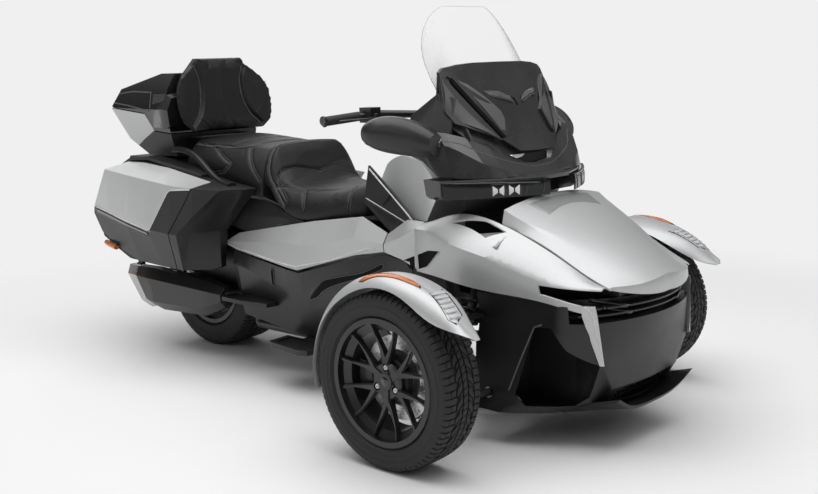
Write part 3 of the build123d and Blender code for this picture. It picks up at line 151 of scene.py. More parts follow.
# floor and light; each lamp has its place, its aim, its width and depth, and its power
studio = {"background": 0.871, "floor": 0.91, "wide": 60, "fade": (1.7, 3.6),
          "zenith": 0.36, "horizon": 0.08, "below": 0.05,
          "lamps": {"top": ((0.5, -0.5, 4.4), (0.3, 0.0, 0.5), 6.4, 4.4, 196),
                    "front": ((4.6, -0.6, 3.4), (0.9, 0.0, 0.5), 4.2, 2.2, 14),
                    "side": ((-0.6, -4.8, 3.6), (-0.2, -0.3, 0.6), 4.6, 1.8, 14),
                    "back": ((-3.8, 2.4, 3.6), (-0.3, 0.0, 0.9), 4.0, 2.6, 52)}}


def makeStudio(v):
    world = bpy.data.worlds.new("studio")
    scene.world = world
    sky = Look("studio", world)
    height = sky.node("ShaderNodeSeparateXYZ", {}, {0: sky.place}, "Z")
    upper = sky.blend(sky.span(height, 0.1, 0.9), rgb(v["horizon"]), rgb(v["zenith"]))
    shade = sky.blend(sky.span(height, -0.3, 0.05), rgb(v["below"]), upper)

    def ray(kind):
        return sky.node("ShaderNodeLightPath", out="Is " + kind + " Ray")
    seen = ray("Camera") + ray("Transmission")
    glossy = ray("Glossy") * sky.span(height, 0.12, -0.02)
    lit = sky.node("ShaderNodeBackground", {}, {"Color": shade, "Strength": 1.0})
    plain = sky.node("ShaderNodeBackground", {}, {"Color": rgb(v["background"]), "Strength": 1.0})
    mixed = sky.node("ShaderNodeMixShader", {}, {0: seen + glossy, 1: lit, 2: plain})
    out = sky.tree.nodes.new("ShaderNodeOutputWorld")
    sky.tree.links.new(mixed.out, out.inputs["Surface"])

    bpy.ops.mesh.primitive_plane_add(size=v["wide"])
    floor = bpy.context.object
    floor.name = "floor"
    look = Look("floorPaint")
    far = look.node("ShaderNodeVectorMath", {"operation": "LENGTH"}, {0: look.place}, "Value")
    cloud = look.noise(0.8)
    tone = look.blend(cloud, rgb(v["floor"]), rgb(v["floor"] + 0.01))
    diffuse = look.node("ShaderNodeBsdfDiffuse", {}, {"Color": tone})
    glow = look.node("ShaderNodeEmission", {}, {"Color": rgb(v["background"])})
    edge = look.span(far + cloud * 0.02, *v["fade"])
    floor.data.materials.append(look.close(look.node("ShaderNodeMixShader", {}, {0: edge, 1: diffuse, 2: glow})))

    for name, (place, at, wide, deep, power) in v["lamps"].items():
        light = bpy.data.lights.new(name, "AREA")
        light.shape = "RECTANGLE"
        light.energy, light.size, light.size_y = power, wide, deep
        lamp = bpy.data.objects.new(name, light)
        lamp.location = place
        lamp.rotation_euler = (Vector(at) - Vector(place)).to_track_quat("-Z", "Y").to_euler()
        scene.collection.objects.link(lamp)


makeStudio(studio)
print("studio made")


# looks: each makes one material from its tones and measures
def paintLook(name, v):
    look = Look(name)
    cloud = look.noise(2.2, 3.0)
    flake = look.node("ShaderNodeTexVoronoi", {}, {"Vector": look.place, "Scale": v["flakes"]}, "Color")
    sparkle = look.node("ShaderNodeSeparateColor", {}, {0: flake})
    shade = look.span(sparkle * 0.35 + cloud * 0.65, 0.2, 0.8)
    peel = look.bump(look.noise(v["peel"], 2.0), 0.03, 0.0003)
    return look.finish(Base_Color=look.blend(shade, v["low"], v["high"]), Metallic=v["metallic"],
                       Roughness=look.span(cloud, 0.3, 0.7, v["rough"] - 0.03, v["rough"] + 0.03),
                       Coat_Weight=v["coat"], Coat_Roughness=0.06, Normal=peel)


def plasticLook(name, low, high, grain, rough, depth, coat=0.0, shine=0.5):
    look = Look(name)
    wear = look.noise(6.0, 4.0)
    fine = look.noise(grain, 2.0, 0.6)
    pits = look.node("ShaderNodeTexVoronoi", {"feature": "SMOOTH_F1"},
                     {"Vector": look.place, "Scale": grain * 0.6}, "Distance")
    tone = look.blend(look.span(wear * 0.8 + fine * 0.2, 0.3, 0.7), rgb(low), rgb(high))
    return look.finish(Base_Color=tone, Roughness=look.span(wear, 0.3, 0.7, rough - 0.05, rough + 0.05),
                       Specular_IOR_Level=shine, Coat_Weight=coat, Coat_Roughness=0.05,
                       Normal=look.bump(fine * 0.5 + pits * 0.5, depth, 0.0006))


def metalLook(name, low, high, rough, streak=(1, 1, 1)):
    look = Look(name)
    along = look.node("ShaderNodeMapping", {}, {"Vector": look.place, "Scale": streak})
    brushed = look.noise(180.0, 3.0, 0.6, along)
    cloud = look.noise(5.0, 3.0)
    tone = look.blend(look.span(cloud + brushed * 0.4, 0.4, 0.9), rgb(low), rgb(high))
    return look.finish(Base_Color=tone, Metallic=1.0,
                       Roughness=look.span(brushed, 0.3, 0.7, rough - 0.06, rough + 0.06),
                       Normal=look.bump(brushed, 0.12, 0.0003))


def discLook(name, centre, swept=(0.078, 0.084)):  # turned rings about the wheel's own axle
    look = Look(name)
    off = look.node("ShaderNodeVectorMath", {"operation": "SUBTRACT"}, {0: look.place, 1: centre})
    flat = look.node("ShaderNodeVectorMath", {"operation": "MULTIPLY"}, {0: off, 1: (1, 0, 1)})
    radius = look.node("ShaderNodeVectorMath", {"operation": "LENGTH"}, {0: flat}, "Value")
    rings = look.node("ShaderNodeTexNoise", {"noise_dimensions": "1D"},
                      {"W": radius, "Scale": 900.0, "Detail": 2.0}, "Fac")
    band = look.span(radius, *swept)
    tone = look.blend(look.span(rings, 0.3, 0.7), rgb(0.50), rgb(0.68))
    return look.finish(Base_Color=look.blend(band, rgb(0.06), tone), Metallic=look.span(radius, *swept, 0.6, 1.0),
                       Roughness=look.span(rings, 0.3, 0.7, 0.24, 0.38), Normal=look.bump(rings, 0.15, 0.0002))


def leatherLook(name, low, high, cells, rough, depth):
    look = Look(name)
    edges = look.node("ShaderNodeTexVoronoi", {"feature": "DISTANCE_TO_EDGE"},
                      {"Vector": look.place, "Scale": cells}, "Distance")
    creases = look.noise(cells * 0.35, 3.0, 0.6)
    cloud = look.noise(5.0, 3.0)
    height = look.span(edges, 0.0, 0.09) * 0.7 + creases * 0.3
    tone = look.blend(look.span(cloud * 0.7 + creases * 0.3, 0.3, 0.7), rgb(low), rgb(high))
    return look.finish(Base_Color=tone, Roughness=look.span(cloud, 0.3, 0.7, rough - 0.06, rough + 0.06),
                       Specular_IOR_Level=0.4, Normal=look.bump(height, depth, 0.0008))


def glassLook(name, tint, alpha):
    look = Look(name)
    smear = look.noise(7.0, 3.0)
    return look.finish(Base_Color=rgb(*tint), Roughness=look.span(smear, 0.3, 0.8, 0.02, 0.05), IOR=1.45,
                       Alpha=look.span(smear, 0.2, 0.8, alpha - 0.015, alpha + 0.015), Specular_IOR_Level=0.5)


def screenLook(name, v):  # clear, with a painted sheen towards its edges: paler and less clear there
    look = Look(name)
    across = look.node("ShaderNodeMath", {"operation": "ABSOLUTE"}, {0: look.axis("Y")})
    smear = look.noise(7.0, 3.0)
    edge = look.span(across + smear * 0.03, v["from"], v["to"])
    return look.finish(Base_Color=rgb(0.80), Roughness=look.span(smear, 0.3, 0.8, 0.03, 0.06), IOR=1.45,
                       Alpha=edge * (v["edge"] - v["middle"]) + v["middle"], Specular_IOR_Level=0.5)


def lampLook(name, colour, low, high, coat=0.7):  # moulded lens with fine ribs
    look = Look(name)
    ribs = look.node("ShaderNodeTexWave", {}, {"Vector": look.place, "Scale": 90.0, "Distortion": 0.4}, "Fac")
    dim, bright = (rgb(*[c * share for c in colour]) for share in (low, high))
    tone = look.blend(look.span(ribs, 0.2, 0.8), dim, bright)
    return look.finish(Base_Color=tone, Roughness=look.span(ribs, 0.2, 0.8, 0.15, 0.25), Coat_Weight=coat,
                       Coat_Roughness=0.03, Normal=look.bump(ribs, 0.2, 0.0005))


def meshLook(name, scale, low, high):  # perforated sheet: round holes on a grid
    look = Look(name)
    dots = look.node("ShaderNodeTexVoronoi", {},
                     {"Vector": look.place, "Scale": scale, "Randomness": 0.0}, "Distance")
    hole = look.span(dots, 0.28, 0.36)
    return look.finish(Base_Color=look.blend(hole, low, high), Roughness=look.span(dots, 0.2, 0.5, 0.7, 0.35),
                       Normal=look.bump(hole, 0.6, 0.001))


def splitLook(name, paint, plastic, dark):  # painted shell with its moulded part, divided by straight lines
    look = Look(name)
    x, z = look.axis("X"), look.axis("Z")
    mask = dark(look, x, z)
    cloud = look.noise(2.2, 3.0)
    grain = look.noise(plastic["grain"], 2.0, 0.6)
    light = look.blend(cloud, paint["low"], paint["high"])
    black = look.blend(cloud, plastic["low"], plastic["high"])
    return look.finish(Base_Color=look.blend(mask, light, black),
                       Metallic=paint["metallic"] - mask * paint["metallic"],
                       Roughness=mask * (plastic["rough"] - paint["rough"]) + paint["rough"],
                       Coat_Weight=paint["coat"] - mask * paint["coat"], Coat_Roughness=0.06,
                       Normal=look.bump(grain * mask, plastic["depth"], 0.0006))


def past(look, value):  # 1 where the value is above 0, with a narrow soft edge
    return look.span(value, -0.0007, 0.0007)


def caseDark(look, x, z):  # below the recessed stripe, or ahead of the frame line and under the top facet
    below = past(look, (x + 1.245) * -0.1245 + 0.6335 - z)
    ahead = past(look, (z - 0.583) * -0.674 + 0.748 + x)
    under = past(look, (x + 0.6435) * 0.11 + 0.7475 - z)
    return below.calc("MAXIMUM", below, ahead * under)


def topCaseDark(look, x, z):  # the foot and the front corner
    below = past(look, (x + 0.9882) * 0.451 + 0.9776 - z)
    ahead = past(look, x + 0.986)
    return below.calc("MAXIMUM", below, ahead)


silver = {"low": rgb(0.52, 0.525, 0.53), "high": rgb(0.61, 0.615, 0.62), "flakes": 900.0, "peel": 260.0,
          "metallic": 0.42, "rough": 0.45, "coat": 0.25}
# darker copy of the silver paint: painted shade for the hood's recess
recessShadeSilver = {"low": rgb(0.30, 0.303, 0.306), "high": rgb(0.37, 0.373, 0.376), "flakes": 900.0, "peel": 260.0,
                "metallic": 0.42, "rough": 0.5, "coat": 0.2}
moulded = {"low": rgb(0.013), "high": rgb(0.022), "grain": 900.0, "rough": 0.42, "depth": 0.2}
sheet = {"from": 0.15, "to": 0.29, "middle": 0.025, "edge": 0.42}
discCentres = {"discLeft": (0.857, 0, 0.281), "discRight": (0.857, 0, 0.281), "discRear": (-0.857, 0, 0.303)}

# finishes: one for each material slot but disc_steel, whose discs have their own, then the shades of single pieces
finishes = {
    "silver_paint": paintLook("silverPaint", silver),
    "dark_plastic": plasticLook("charcoalPlastic", low=0.009, high=0.016, grain=900.0, rough=0.38, depth=0.22),
    "gloss_black": plasticLook("glossBlack", low=0.006, high=0.010, grain=300.0, rough=0.14, depth=0.02, coat=0.7),
    "black_metal": plasticLook("satinBlack", low=0.007, high=0.013, grain=700.0, rough=0.34, depth=0.06, coat=0.2),
    "cast_aluminium": metalLook("castAlloy", low=0.35, high=0.5, rough=0.42),
    "brushed_steel": metalLook("brushedSteel", low=0.5, high=0.66, rough=0.26, streak=(0.05, 1, 1)),
    "seat_cover": leatherLook("seatLeather", low=0.004, high=0.008, cells=420.0, rough=0.42, depth=0.35),
    "tyre": plasticLook("tyreRubber", low=0.014, high=0.024, grain=500.0, rough=0.68, depth=0.2),
    "grip_rubber": plasticLook("gripRubber", low=0.010, high=0.018, grain=600.0, rough=0.6, depth=0.2),
    "clear_screen": screenLook("clearScreen", sheet),
    "lamp_lens": glassLook("lampLens", (0.012, 0.013, 0.014), 0.82),
    "red_lens": lampLook("redLens", (1.0, 0.012, 0.008), 0.22, 0.36, 0.15),

    # bright for the wheel nuts and the case lines; along the silver edges of the nose outlet, knees, side panels and
    # blades it is a painted highlight
    "brightTrimAndHighlight": plasticLook("brightTrimAndHighlight", low=0.62, high=0.8, grain=700.0, rough=0.3, depth=0.05, coat=0.4),
    "recessShadePaint": paintLook("recessShadePaint", recessShadeSilver),
    "amberLens": lampLook("amberLens", (1.0, 0.24, 0.02), 0.55, 0.85),
    "clearLens": lampLook("clearLens", (0.9, 0.92, 0.95), 0.45, 0.95),
    "ledChip": plasticLook("ledChip", low=0.75, high=0.9, grain=900.0, rough=0.2, depth=0.1, coat=0.5),
    # grey for the switch keys and the lines and rims on dark parts; on the cowl it is painted light: paler wedges and
    # highlight lines
    "greyPlasticAndHighlight": plasticLook("greyPlasticAndHighlight", low=0.075, high=0.11, grain=900.0, rough=0.4, depth=0.2),
    "greyThread": plasticLook("greyThread", low=0.16, high=0.24, grain=2500.0, rough=0.7, depth=0.5),
    "greyPiping": leatherLook("greyPiping", low=0.05, high=0.09, cells=700.0, rough=0.42, depth=0.3),
    "speakerMesh": meshLook("speakerMesh", 260.0, rgb(0.004), rgb(0.05)),
    "mirrorGlass": metalLook("mirrorGlass", low=0.75, high=0.8, rough=0.07),
    "paleSlat": plasticLook("paleSlat", low=0.11, high=0.16, grain=700.0, rough=0.3, depth=0.05, coat=0.4),
    "screenEdge": glassLook("screenEdge", (0.25, 0.26, 0.27), 0.3),
    "cowlPlastic": plasticLook("cowlPlastic", low=0.018, high=0.034, grain=500.0, rough=0.27, depth=0.05, coat=0.35),
    "mirrorShell": plasticLook("mirrorShell", low=0.009, high=0.016, grain=700.0, rough=0.4, depth=0.06, coat=0.1),
    "shadowGap": plasticLook("shadowGap", low=0.002, high=0.004, grain=400.0, rough=0.8, depth=0.1, shine=0.2),
    "caseShell": splitLook("caseShell", silver, moulded, caseDark),
    "topCaseShell": splitLook("topCaseShell", silver, moulded, topCaseDark),
}
finishes.update({name: discLook(name, centre) for name, centre in discCentres.items()})
shells = {"pannier_lid_left": "caseShell", "pannier_lid_right": "caseShell", "top_case": "topCaseShell",
          "cowl": "cowlPlastic", "mirrors": "mirrorShell", "front_brake_disc_left": "discLeft",
          "front_brake_disc_right": "discRight", "rear_brake_disc": "discRear"}
slotOf = {row["node"]: row["material_slot"] for row in frame["record"]["subparts"]}
bodyOf = {name: body for body, names in frame["record"]["behaviour"]["bodies"].items() for name in names}

edging = {"solids": 0.0015, "corner": 30, "flat": 0.6, "weld": 0.00001}  # metres and degrees


def soften(ob, width, merge=False):  # rounded edges and weighted normals as modifiers, smooth shading as flags on the faces
    mesh = ob.data
    mesh.polygons.foreach_set("use_smooth", [True] * len(mesh.polygons))
    if merge:
        weld = ob.modifiers.new("weld", "WELD")
        weld.merge_threshold = edging["weld"]
    if width:
        flat = ob.modifiers.new("flat", "DECIMATE")
        flat.decimate_type = "DISSOLVE"
        flat.angle_limit = math.radians(edging["flat"])
        bevel = ob.modifiers.new("edges", "BEVEL")
        bevel.limit_method = "ANGLE"
        bevel.angle_limit = math.radians(edging["corner"])
        bevel.width, bevel.segments = width, 2
        bevel.use_clamp_overlap = True
        bevel.harden_normals = False
    even = ob.modifiers.new("shading", "WEIGHTED_NORMAL")
    even.keep_sharp = True
    even.weight = 80


for name, ob in nodes.items():
    ob.data.materials.clear()
    ob.data.materials.append(finishes[shells.get(name, slotOf[name])])
    for face in ob.data.polygons:
        face.material_index = 0
    soften(ob, edging["solids"], merge=True)
print("finishes set")

# where a detail lies: (u, v) in one view of the object, thrown onto the solids' own skin
aims = {"side": ((0, 2), (0, -1, 0)), "top": ((0, 1), (0, 0, -1)), "front": ((1, 2), (-1, 0, 0)),
        "rear": ((1, 2), (1, 0, 0))}
trees = {}


def treeOf(*things):
    if things not in trees:
        points, faces = [], []
        for thing in things:
            mesh = nodes[thing].data if thing in nodes else bpy.data.objects[thing].data
            base = len(points)
            points += [v.co.copy() for v in mesh.vertices]
            faces += [[base + i for i in face.vertices] for face in mesh.polygons]
        trees[things] = BVHTree.FromPolygons(points, faces)
    return trees[things]


def onto(things, aim, side=1, back=4):
    tree = treeOf(*(things if isinstance(things, tuple) else (things,)))
    (a, b), way = aims[aim]
    way = Vector(way)
    if aim == "side":
        way.y *= side
    last = [3.5]  # how far the last ray went, for one that misses

    def place(u, v):
        start = Vector((0, 0, 0))
        start[a], start[b] = u, v
        start -= way * back
        hit, normal, _, far = tree.ray_cast(start, way)
        if hit is None:
            return tree.find_nearest(start + way * last[0])[0].copy(), -way
        last[0] = far
        return hit, normal if normal.dot(way) < 0 else -normal
    return place


def beside(*things):  # a point in space, moved to the nearest skin
    tree = treeOf(*things)
    return lambda *spot: tree.find_nearest(Vector(spot))[:2]


def smoothed(place, outline):  # the same mapping over slots and steps, from a quadratic through the skin
    low = [min(p[k] for p in outline) for k in (0, 1)]
    high = [max(p[k] for p in outline) for k in (0, 1)]
    count = 14
    spots = [(low[0] + (high[0] - low[0]) * i / count, low[1] + (high[1] - low[1]) * j / count)
             for i in range(count + 1) for j in range(count + 1)]
    spots = [p for p in spots if inside(p, outline)]
    hits = [place(*p) for p in spots]

    def row(u, v):
        u, v = u - low[0], v - low[1]
        return [1, u, v, u * u, u * v, v * v]
    terms = numpy.array([row(*p) for p in spots])
    found = numpy.array([tuple(h[0]) for h in hits])
    keep = numpy.ones(len(spots), bool)
    for _ in range(5):
        fit = numpy.linalg.lstsq(terms[keep], found[keep], rcond=None)[0]
        miss = numpy.abs(terms @ fit - found).max(axis=1)
        keep = miss <= max(numpy.percentile(miss, 80), 0.0008)
    normal = sum((h[1] for h, k in zip(hits, keep) if k), Vector()).normalized()
    return lambda u, v: (Vector(numpy.array(row(u, v)) @ fit), normal)


def inside(p, outline):
    hit = False
    for (x0, y0), (x1, y1) in zip(outline, outline[1:] + outline[:1]):
        if (y0 > p[1]) != (y1 > p[1]) and p[0] < (x1 - x0) * (p[1] - y0) / (y1 - y0) + x0:
            hit = not hit
    return hit


def divided(points, step, closed=False):
    rest = points[1:] + points[:1] if closed else points[1:]
    out = []
    for p, q in zip(points, rest):
        count = max(1, math.ceil(math.dist(p, q) / step))
        out += [tuple(a + (b - a) * k / count for a, b in zip(p, q)) for k in range(count)]
    return out if closed else out + [tuple(points[-1])]


def curved(points, step, closed=False):  # even points along a smooth line through the given ones
    if len(points) < 3:
        return divided(points, step)
    n = len(points)
    out = []
    for i in range(n if closed else n - 1):
        p = [points[j % n] if closed else points[min(max(j, 0), n - 1)] for j in (i - 1, i, i + 1, i + 2)]
        count = max(1, math.ceil(math.dist(p[1], p[2]) / step))
        for k in range(count):
            t = k / count
            out.append(tuple(0.5 * (2 * b + (c - a) * t + (2 * a - 5 * b + 4 * c - d) * t * t
                                    + (3 * b - a - 3 * c + d) * t ** 3) for a, b, c, d in zip(*p)))
    return out if closed else out + [tuple(points[-1])]


def traced(path, place, step, lift, smooth, closed):  # (point, normal) pairs along a path on the skin
    line = curved(path, step, closed) if smooth else divided(path, step, closed)
    return [(p + n * lift, n) for p, n in (place(*spot) for spot in line)]


class Build:  # collects the faces of one piece
    def __init__(self, name, finish, slotName, body):
        self.name, self.finish, self.slot, self.body = name, finishes[finish], slotName, body
        self.points, self.faces = [], []

    def add(self, points, faces):
        base = len(self.points)
        self.points += [Vector(p) for p in points]
        self.faces += [[base + i for i in face] for face in faces]

    def plate(self, outline, place, thick, lift, cell):  # a thin slab that follows the skin under it
        rim = divided([tuple(p) for p in outline], cell, True)
        spots, lines = list(rim), [(i, (i + 1) % len(rim)) for i in range(len(rim))]
        low = [min(p[k] for p in rim) for k in (0, 1)]
        high = [max(p[k] for p in rim) for k in (0, 1)]
        for i in range(int((high[0] - low[0]) / cell) + 1):
            for j in range(int((high[1] - low[1]) / cell) + 1):
                p = (low[0] + (i + 0.5 + 0.25 * (j % 2)) * cell, low[1] + (j + 0.5) * cell)
                if inside(p, rim) and min(math.dist(p, q) for q in rim) > cell * 0.45:
                    spots.append(p)
        flat, _, faces, *_ = delaunay_2d_cdt([Vector(p) for p in spots], lines, [], 1, 1e-7)
        hits = [place(p.x, p.y) for p in flat]
        normals = [Vector() for _ in flat]
        for f in faces:
            a, b, c = (hits[i][0] for i in f[:3])
            turn = (b - a).cross(c - a)
            if turn.dot(hits[f[0]][1]) < 0:
                f.reverse()
                turn.negate()
            for i in f:
                normals[i] += turn
        normals = [n.normalized() if n.length > 0 else h[1] for n, h in zip(normals, hits)]
        count = len(flat)
        top = [h[0] + n * lift for h, n in zip(hits, normals)]
        low = [h[0] + n * (lift - thick) for h, n in zip(hits, normals)]
        edges = dict.fromkeys((i, j) for f in faces for i, j in zip(f, f[1:] + f[:1]))
        walls = [[i, i + count, j + count, j] for i, j in edges if (j, i) not in edges]
        self.add(top + low, faces + [[i + count for i in reversed(f)] for f in faces] + walls)
        return self

    def bead(self, line, wide, high=None, around=8, closed=False):  # rounded strip along a traced line
        high = high or wide
        points, faces = [], []
        count = len(line)
        for k, (p, n) in enumerate(line):
            before = line[(k - 1) % count if closed else max(k - 1, 0)][0]
            after = line[(k + 1) % count if closed else min(k + 1, count - 1)][0]
            along = (after - before).normalized()
            across = along.cross(n).normalized()
            lift = across.cross(along)
            points += [p + across * math.cos(a) * wide / 2 + lift * math.sin(a) * high / 2
                       for a in (2 * math.pi * i / around for i in range(around))]
        for k in range(count if closed else count - 1):
            m = (k + 1) % count
            for i in range(around):
                j = (i + 1) % around
                faces.append([k * around + i, k * around + j, m * around + j, m * around + i])
        if not closed:
            faces += [list(range(around)), [(count - 1) * around + i for i in reversed(range(around))]]
        self.add(points, faces)
        return self

    def strip(self, path, place, wide, high, step=0.012, lift=0.0, smooth=False, closed=False, around=8):
        return self.bead(traced(path, place, step, lift, smooth, closed), wide, high, around, closed)

    def stitches(self, line, length=0.006, gap=0.003, thick=0.0018):
        run, spot = 0.0, 0.0
        for (p, n), (q, _) in zip(line, line[1:]):
            way = q - p
            size = way.length
            while spot < run + size:
                at = p + way * ((spot - run) / size)
                along = way.normalized()
                middle = at + along * length * 0.5 + n * thick * 0.4
                self.bead([(at, n), (middle, n), (at + along * length, n)], thick, around=5)
                spot += length + gap
            run += size
        return self

    def spun(self, centre, along, profile, around=48):  # (distance along, radius) turned about a line
        centre, along = Vector(centre), Vector(along).normalized()
        across = along.orthogonal().normalized()
        other = along.cross(across)
        count = len(profile)
        points = [centre + along * d + (across * math.cos(t) + other * math.sin(t)) * r
                  for t in (2 * math.pi * i / around for i in range(around)) for d, r in profile]
        faces = []
        for i in range(around):
            j = (i + 1) % around
            for k in range(count):
                m = (k + 1) % count
                faces.append([i * count + k, j * count + k, j * count + m, i * count + m])
        self.add(points, faces)
        return self

    def done(self, width):
        mesh = bpy.data.meshes.new(self.name)
        mesh.from_pydata(self.points, [], self.faces)
        ob = bpy.data.objects.new(self.name, mesh)
        scene.collection.objects.link(ob)
        work = bmesh.new()
        work.from_mesh(mesh)
        bmesh.ops.recalc_face_normals(work, faces=work.faces)
        work.to_mesh(mesh)
        work.free()
        mesh.materials.append(self.finish)
        soften(ob, width)
        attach(ob, self.body)
        return ob


# tyres: a carcass with its side walls and beads, and separate tread blocks round it
tyres = {
    "front_tyre_left": {"centre": (0.857, 0.692, 0.281), "radius": 0.281, "width": 0.165, "out": 1, "pitches": 40},
    "front_tyre_right": {"centre": (0.857, -0.692, 0.281), "radius": 0.281, "width": 0.165, "out": -1, "pitches": 40},
    "rear_tyre": {"centre": (-0.857, 0, 0.303), "radius": 0.303, "width": 0.225, "out": -1, "pitches": 44},
}


# tread: places across it for a tyre of this half width, scaled to each tyre
pattern = {"half": 0.0825, "low": 0.042, "mid": 0.060, "near": 0.0145, "far": 0.0370, "rib": 0.0088, "edge": 0.0035}


def treadRadius(y, radius, half):  # outer radius across the tread and round the shoulder
    crown = half - 0.014
    y = abs(y)
    if y < crown:
        return radius - 0.005 * (y / crown) ** 2
    t = min((y - crown) / 0.0125, 1)
    return radius - 0.005 - 0.006 * t - 0.017 * (1 - math.sqrt(max(0, 1 - t * t)))


def makeTyre(name, v):
    build = Build(name + "_tread", "tyre", "tyre", bodyOf[name])
    radius, half = v["radius"], v["width"] / 2
    bead, crown = half - 0.016, half - 0.014
    wall = [(half - 0.0015, radius - 0.028), (half - 0.0004, radius - 0.036), (half - 0.0022, radius - 0.0375),
            (half - 0.0004, radius - 0.039), (half, radius - 0.046), (half - 0.0003, radius - 0.054),
            (half - 0.0022, radius - 0.0555), (half - 0.0012, radius - 0.057), (half - 0.003, 0.217),
            (half - 0.0015, 0.2145), (half - 0.0035, 0.2120), (bead + 0.007, 0.2105), (bead, 0.204), (bead, 0.191)]
    tread = [(y * crown / 10, treadRadius(y * crown / 10, radius, half) - 0.0062) for y in range(0, 11)]
    tread += [(crown + 0.005, radius - 0.0145), (crown + 0.0105, radius - 0.019)]
    right = tread[1:] + wall
    inner = [(bead - 0.015, 0.191), (crown - 0.012, radius - 0.020), (0, radius - 0.018)]
    outline = [(-y, r) for y, r in reversed(right)] + tread[:1] + right
    outline += inner + [(-y, r) for y, r in reversed(inner[:-1])]
    build.spun(v["centre"], (0, 1, 0), outline, 120)
    pitch = 2 * math.pi / v["pitches"]
    centre, axle = Vector(v["centre"]), Vector((0, 1, 0))
    across = axle.orthogonal().normalized()
    other = axle.cross(across)

    def block(corners, rows, cols):  # corners as (turn in pitches, place across)
        edge = 0.07
        us = [0, edge] + [i / cols for i in range(1, cols)] + [1 - edge, 1]
        vs = [0, edge] + [i / rows for i in range(1, rows)] + [1 - edge, 1]
        (a, b), (c, d), (e, f), (g, h) = corners
        points, base = [], []
        for i, q in enumerate(vs):
            for j, p in enumerate(us):
                turn = (a * (1 - p) + c * p) * (1 - q) + (g * (1 - p) + e * p) * q
                y = ((b * (1 - p) + d * p) * (1 - q) + (h * (1 - p) + f * p) * q) * v["out"]
                rim = i in (0, len(vs) - 1) or j in (0, len(us) - 1)
                out = across * math.cos(turn * pitch) + other * math.sin(turn * pitch)
                top = treadRadius(y, radius, half)
                points.append(centre + axle * y + out * (top - (0.0009 if rim else 0)))
                base.append(centre + axle * y * 0.995 + out * (top - 0.009))
        wide = len(us)
        faces = [[i * wide + j, i * wide + j + 1, (i + 1) * wide + j + 1, (i + 1) * wide + j]
                 for i in range(len(vs) - 1) for j in range(wide - 1)]
        ring = [j for j in range(wide)] + [i * wide + wide - 1 for i in range(1, len(vs))]
        ring += [(len(vs) - 1) * wide + j for j in range(wide - 2, -1, -1)]
        ring += [i * wide for i in range(len(vs) - 2, 0, -1)]
        count = len(points)
        faces += [[p, p + count, q + count, q] for p, q in zip(ring, ring[1:] + ring[:1])]
        build.add(points + base, faces)

    edge = half - pattern["edge"]
    for k in range(v["pitches"]):
        for out in (1, -1):
            s = 0.0 if out > 0 else 0.5
            low, mid, near, far = (pattern[k] * out * half / pattern["half"] for k in ("low", "mid", "near", "far"))
            top = edge * out
            block([(k + s, low), (k + s + 0.42, low), (k + s + 0.50, top), (k + s + 0.08, top)], 4, 2)
            block([(k + s + 0.48, low), (k + s + 0.88, low), (k + s + 0.96, mid), (k + s + 0.56, mid)], 2, 2)
            block([(k + s + 0.57, mid + 0.0016 * out), (k + s + 0.97, mid + 0.0016 * out), (k + s + 1.0, top),
                   (k + s + 0.58, top)], 3, 2)
            block([(k + s, near), (k + s + 0.55, near), (k + s + 1.05, far), (k + s + 0.62, far)], 3, 2)
            block([(k + s + 0.66, near), (k + s + 0.90, near), (k + s + 1.20, far * 0.72),
                   (k + s + 1.0, far * 0.72)], 2, 1)
        rib = pattern["rib"] * half / pattern["half"]
        block([(k, -rib), (k + 0.44, -rib), (k + 0.60, rib), (k + 0.16, rib)], 2, 2)
        block([(k + 0.50, -rib), (k + 0.94, -rib), (k + 1.10, rib), (k + 0.66, rib)], 2, 2)
    ob = build.done(0)
    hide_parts(name)


for name, v in tyres.items():
    makeTyre(name, v)
print("tyres made")

# wheel fittings: nuts and a cap
hub = {"nuts": 3, "circle": 0.044, "nut": 0.0085, "cap": 0.023, "axle": (0.857, 0.281), "probe": 0.030}


def makeFittings(v):
    x, z = v["axle"]
    nut, cap = v["nut"], v["cap"]
    for name, side in bothSides:
        face = onto("front_rim_" + name, "side", side)(x + v["probe"], z)[0].y
        nuts = Build("wheel_fittings_" + name, "brightTrimAndHighlight", "brushed_steel", "front_wheel_" + name)
        for k in range(v["nuts"]):
            turn = math.radians(90 + 360 / v["nuts"] * k)
            spot = (x + v["circle"] * math.cos(turn), face, z + v["circle"] * math.sin(turn))
            nuts.spun(spot, (0, side, 0), [(-0.02, 0.004), (-0.02, nut), (0.002, nut), (0.004, nut * 0.75),
                                           (0.004, 0.004), (0.001, 0.0032)], 6)
        nuts.done(0.0007)
        lid = Build("wheel_cap_" + name, "gloss_black", "gloss_black", "front_wheel_" + name)
        lid.spun((x, face, z), (0, side, 0), [(-0.004, 0.0005), (-0.004, cap), (0.004, cap), (0.007, cap * 0.88),
                                              (0.0065, cap * 0.72), (0.009, cap * 0.5), (0.010, 0.0005)], 40)
        lid.done(0.0005)


makeFittings(hub)
print("wheel fittings made")

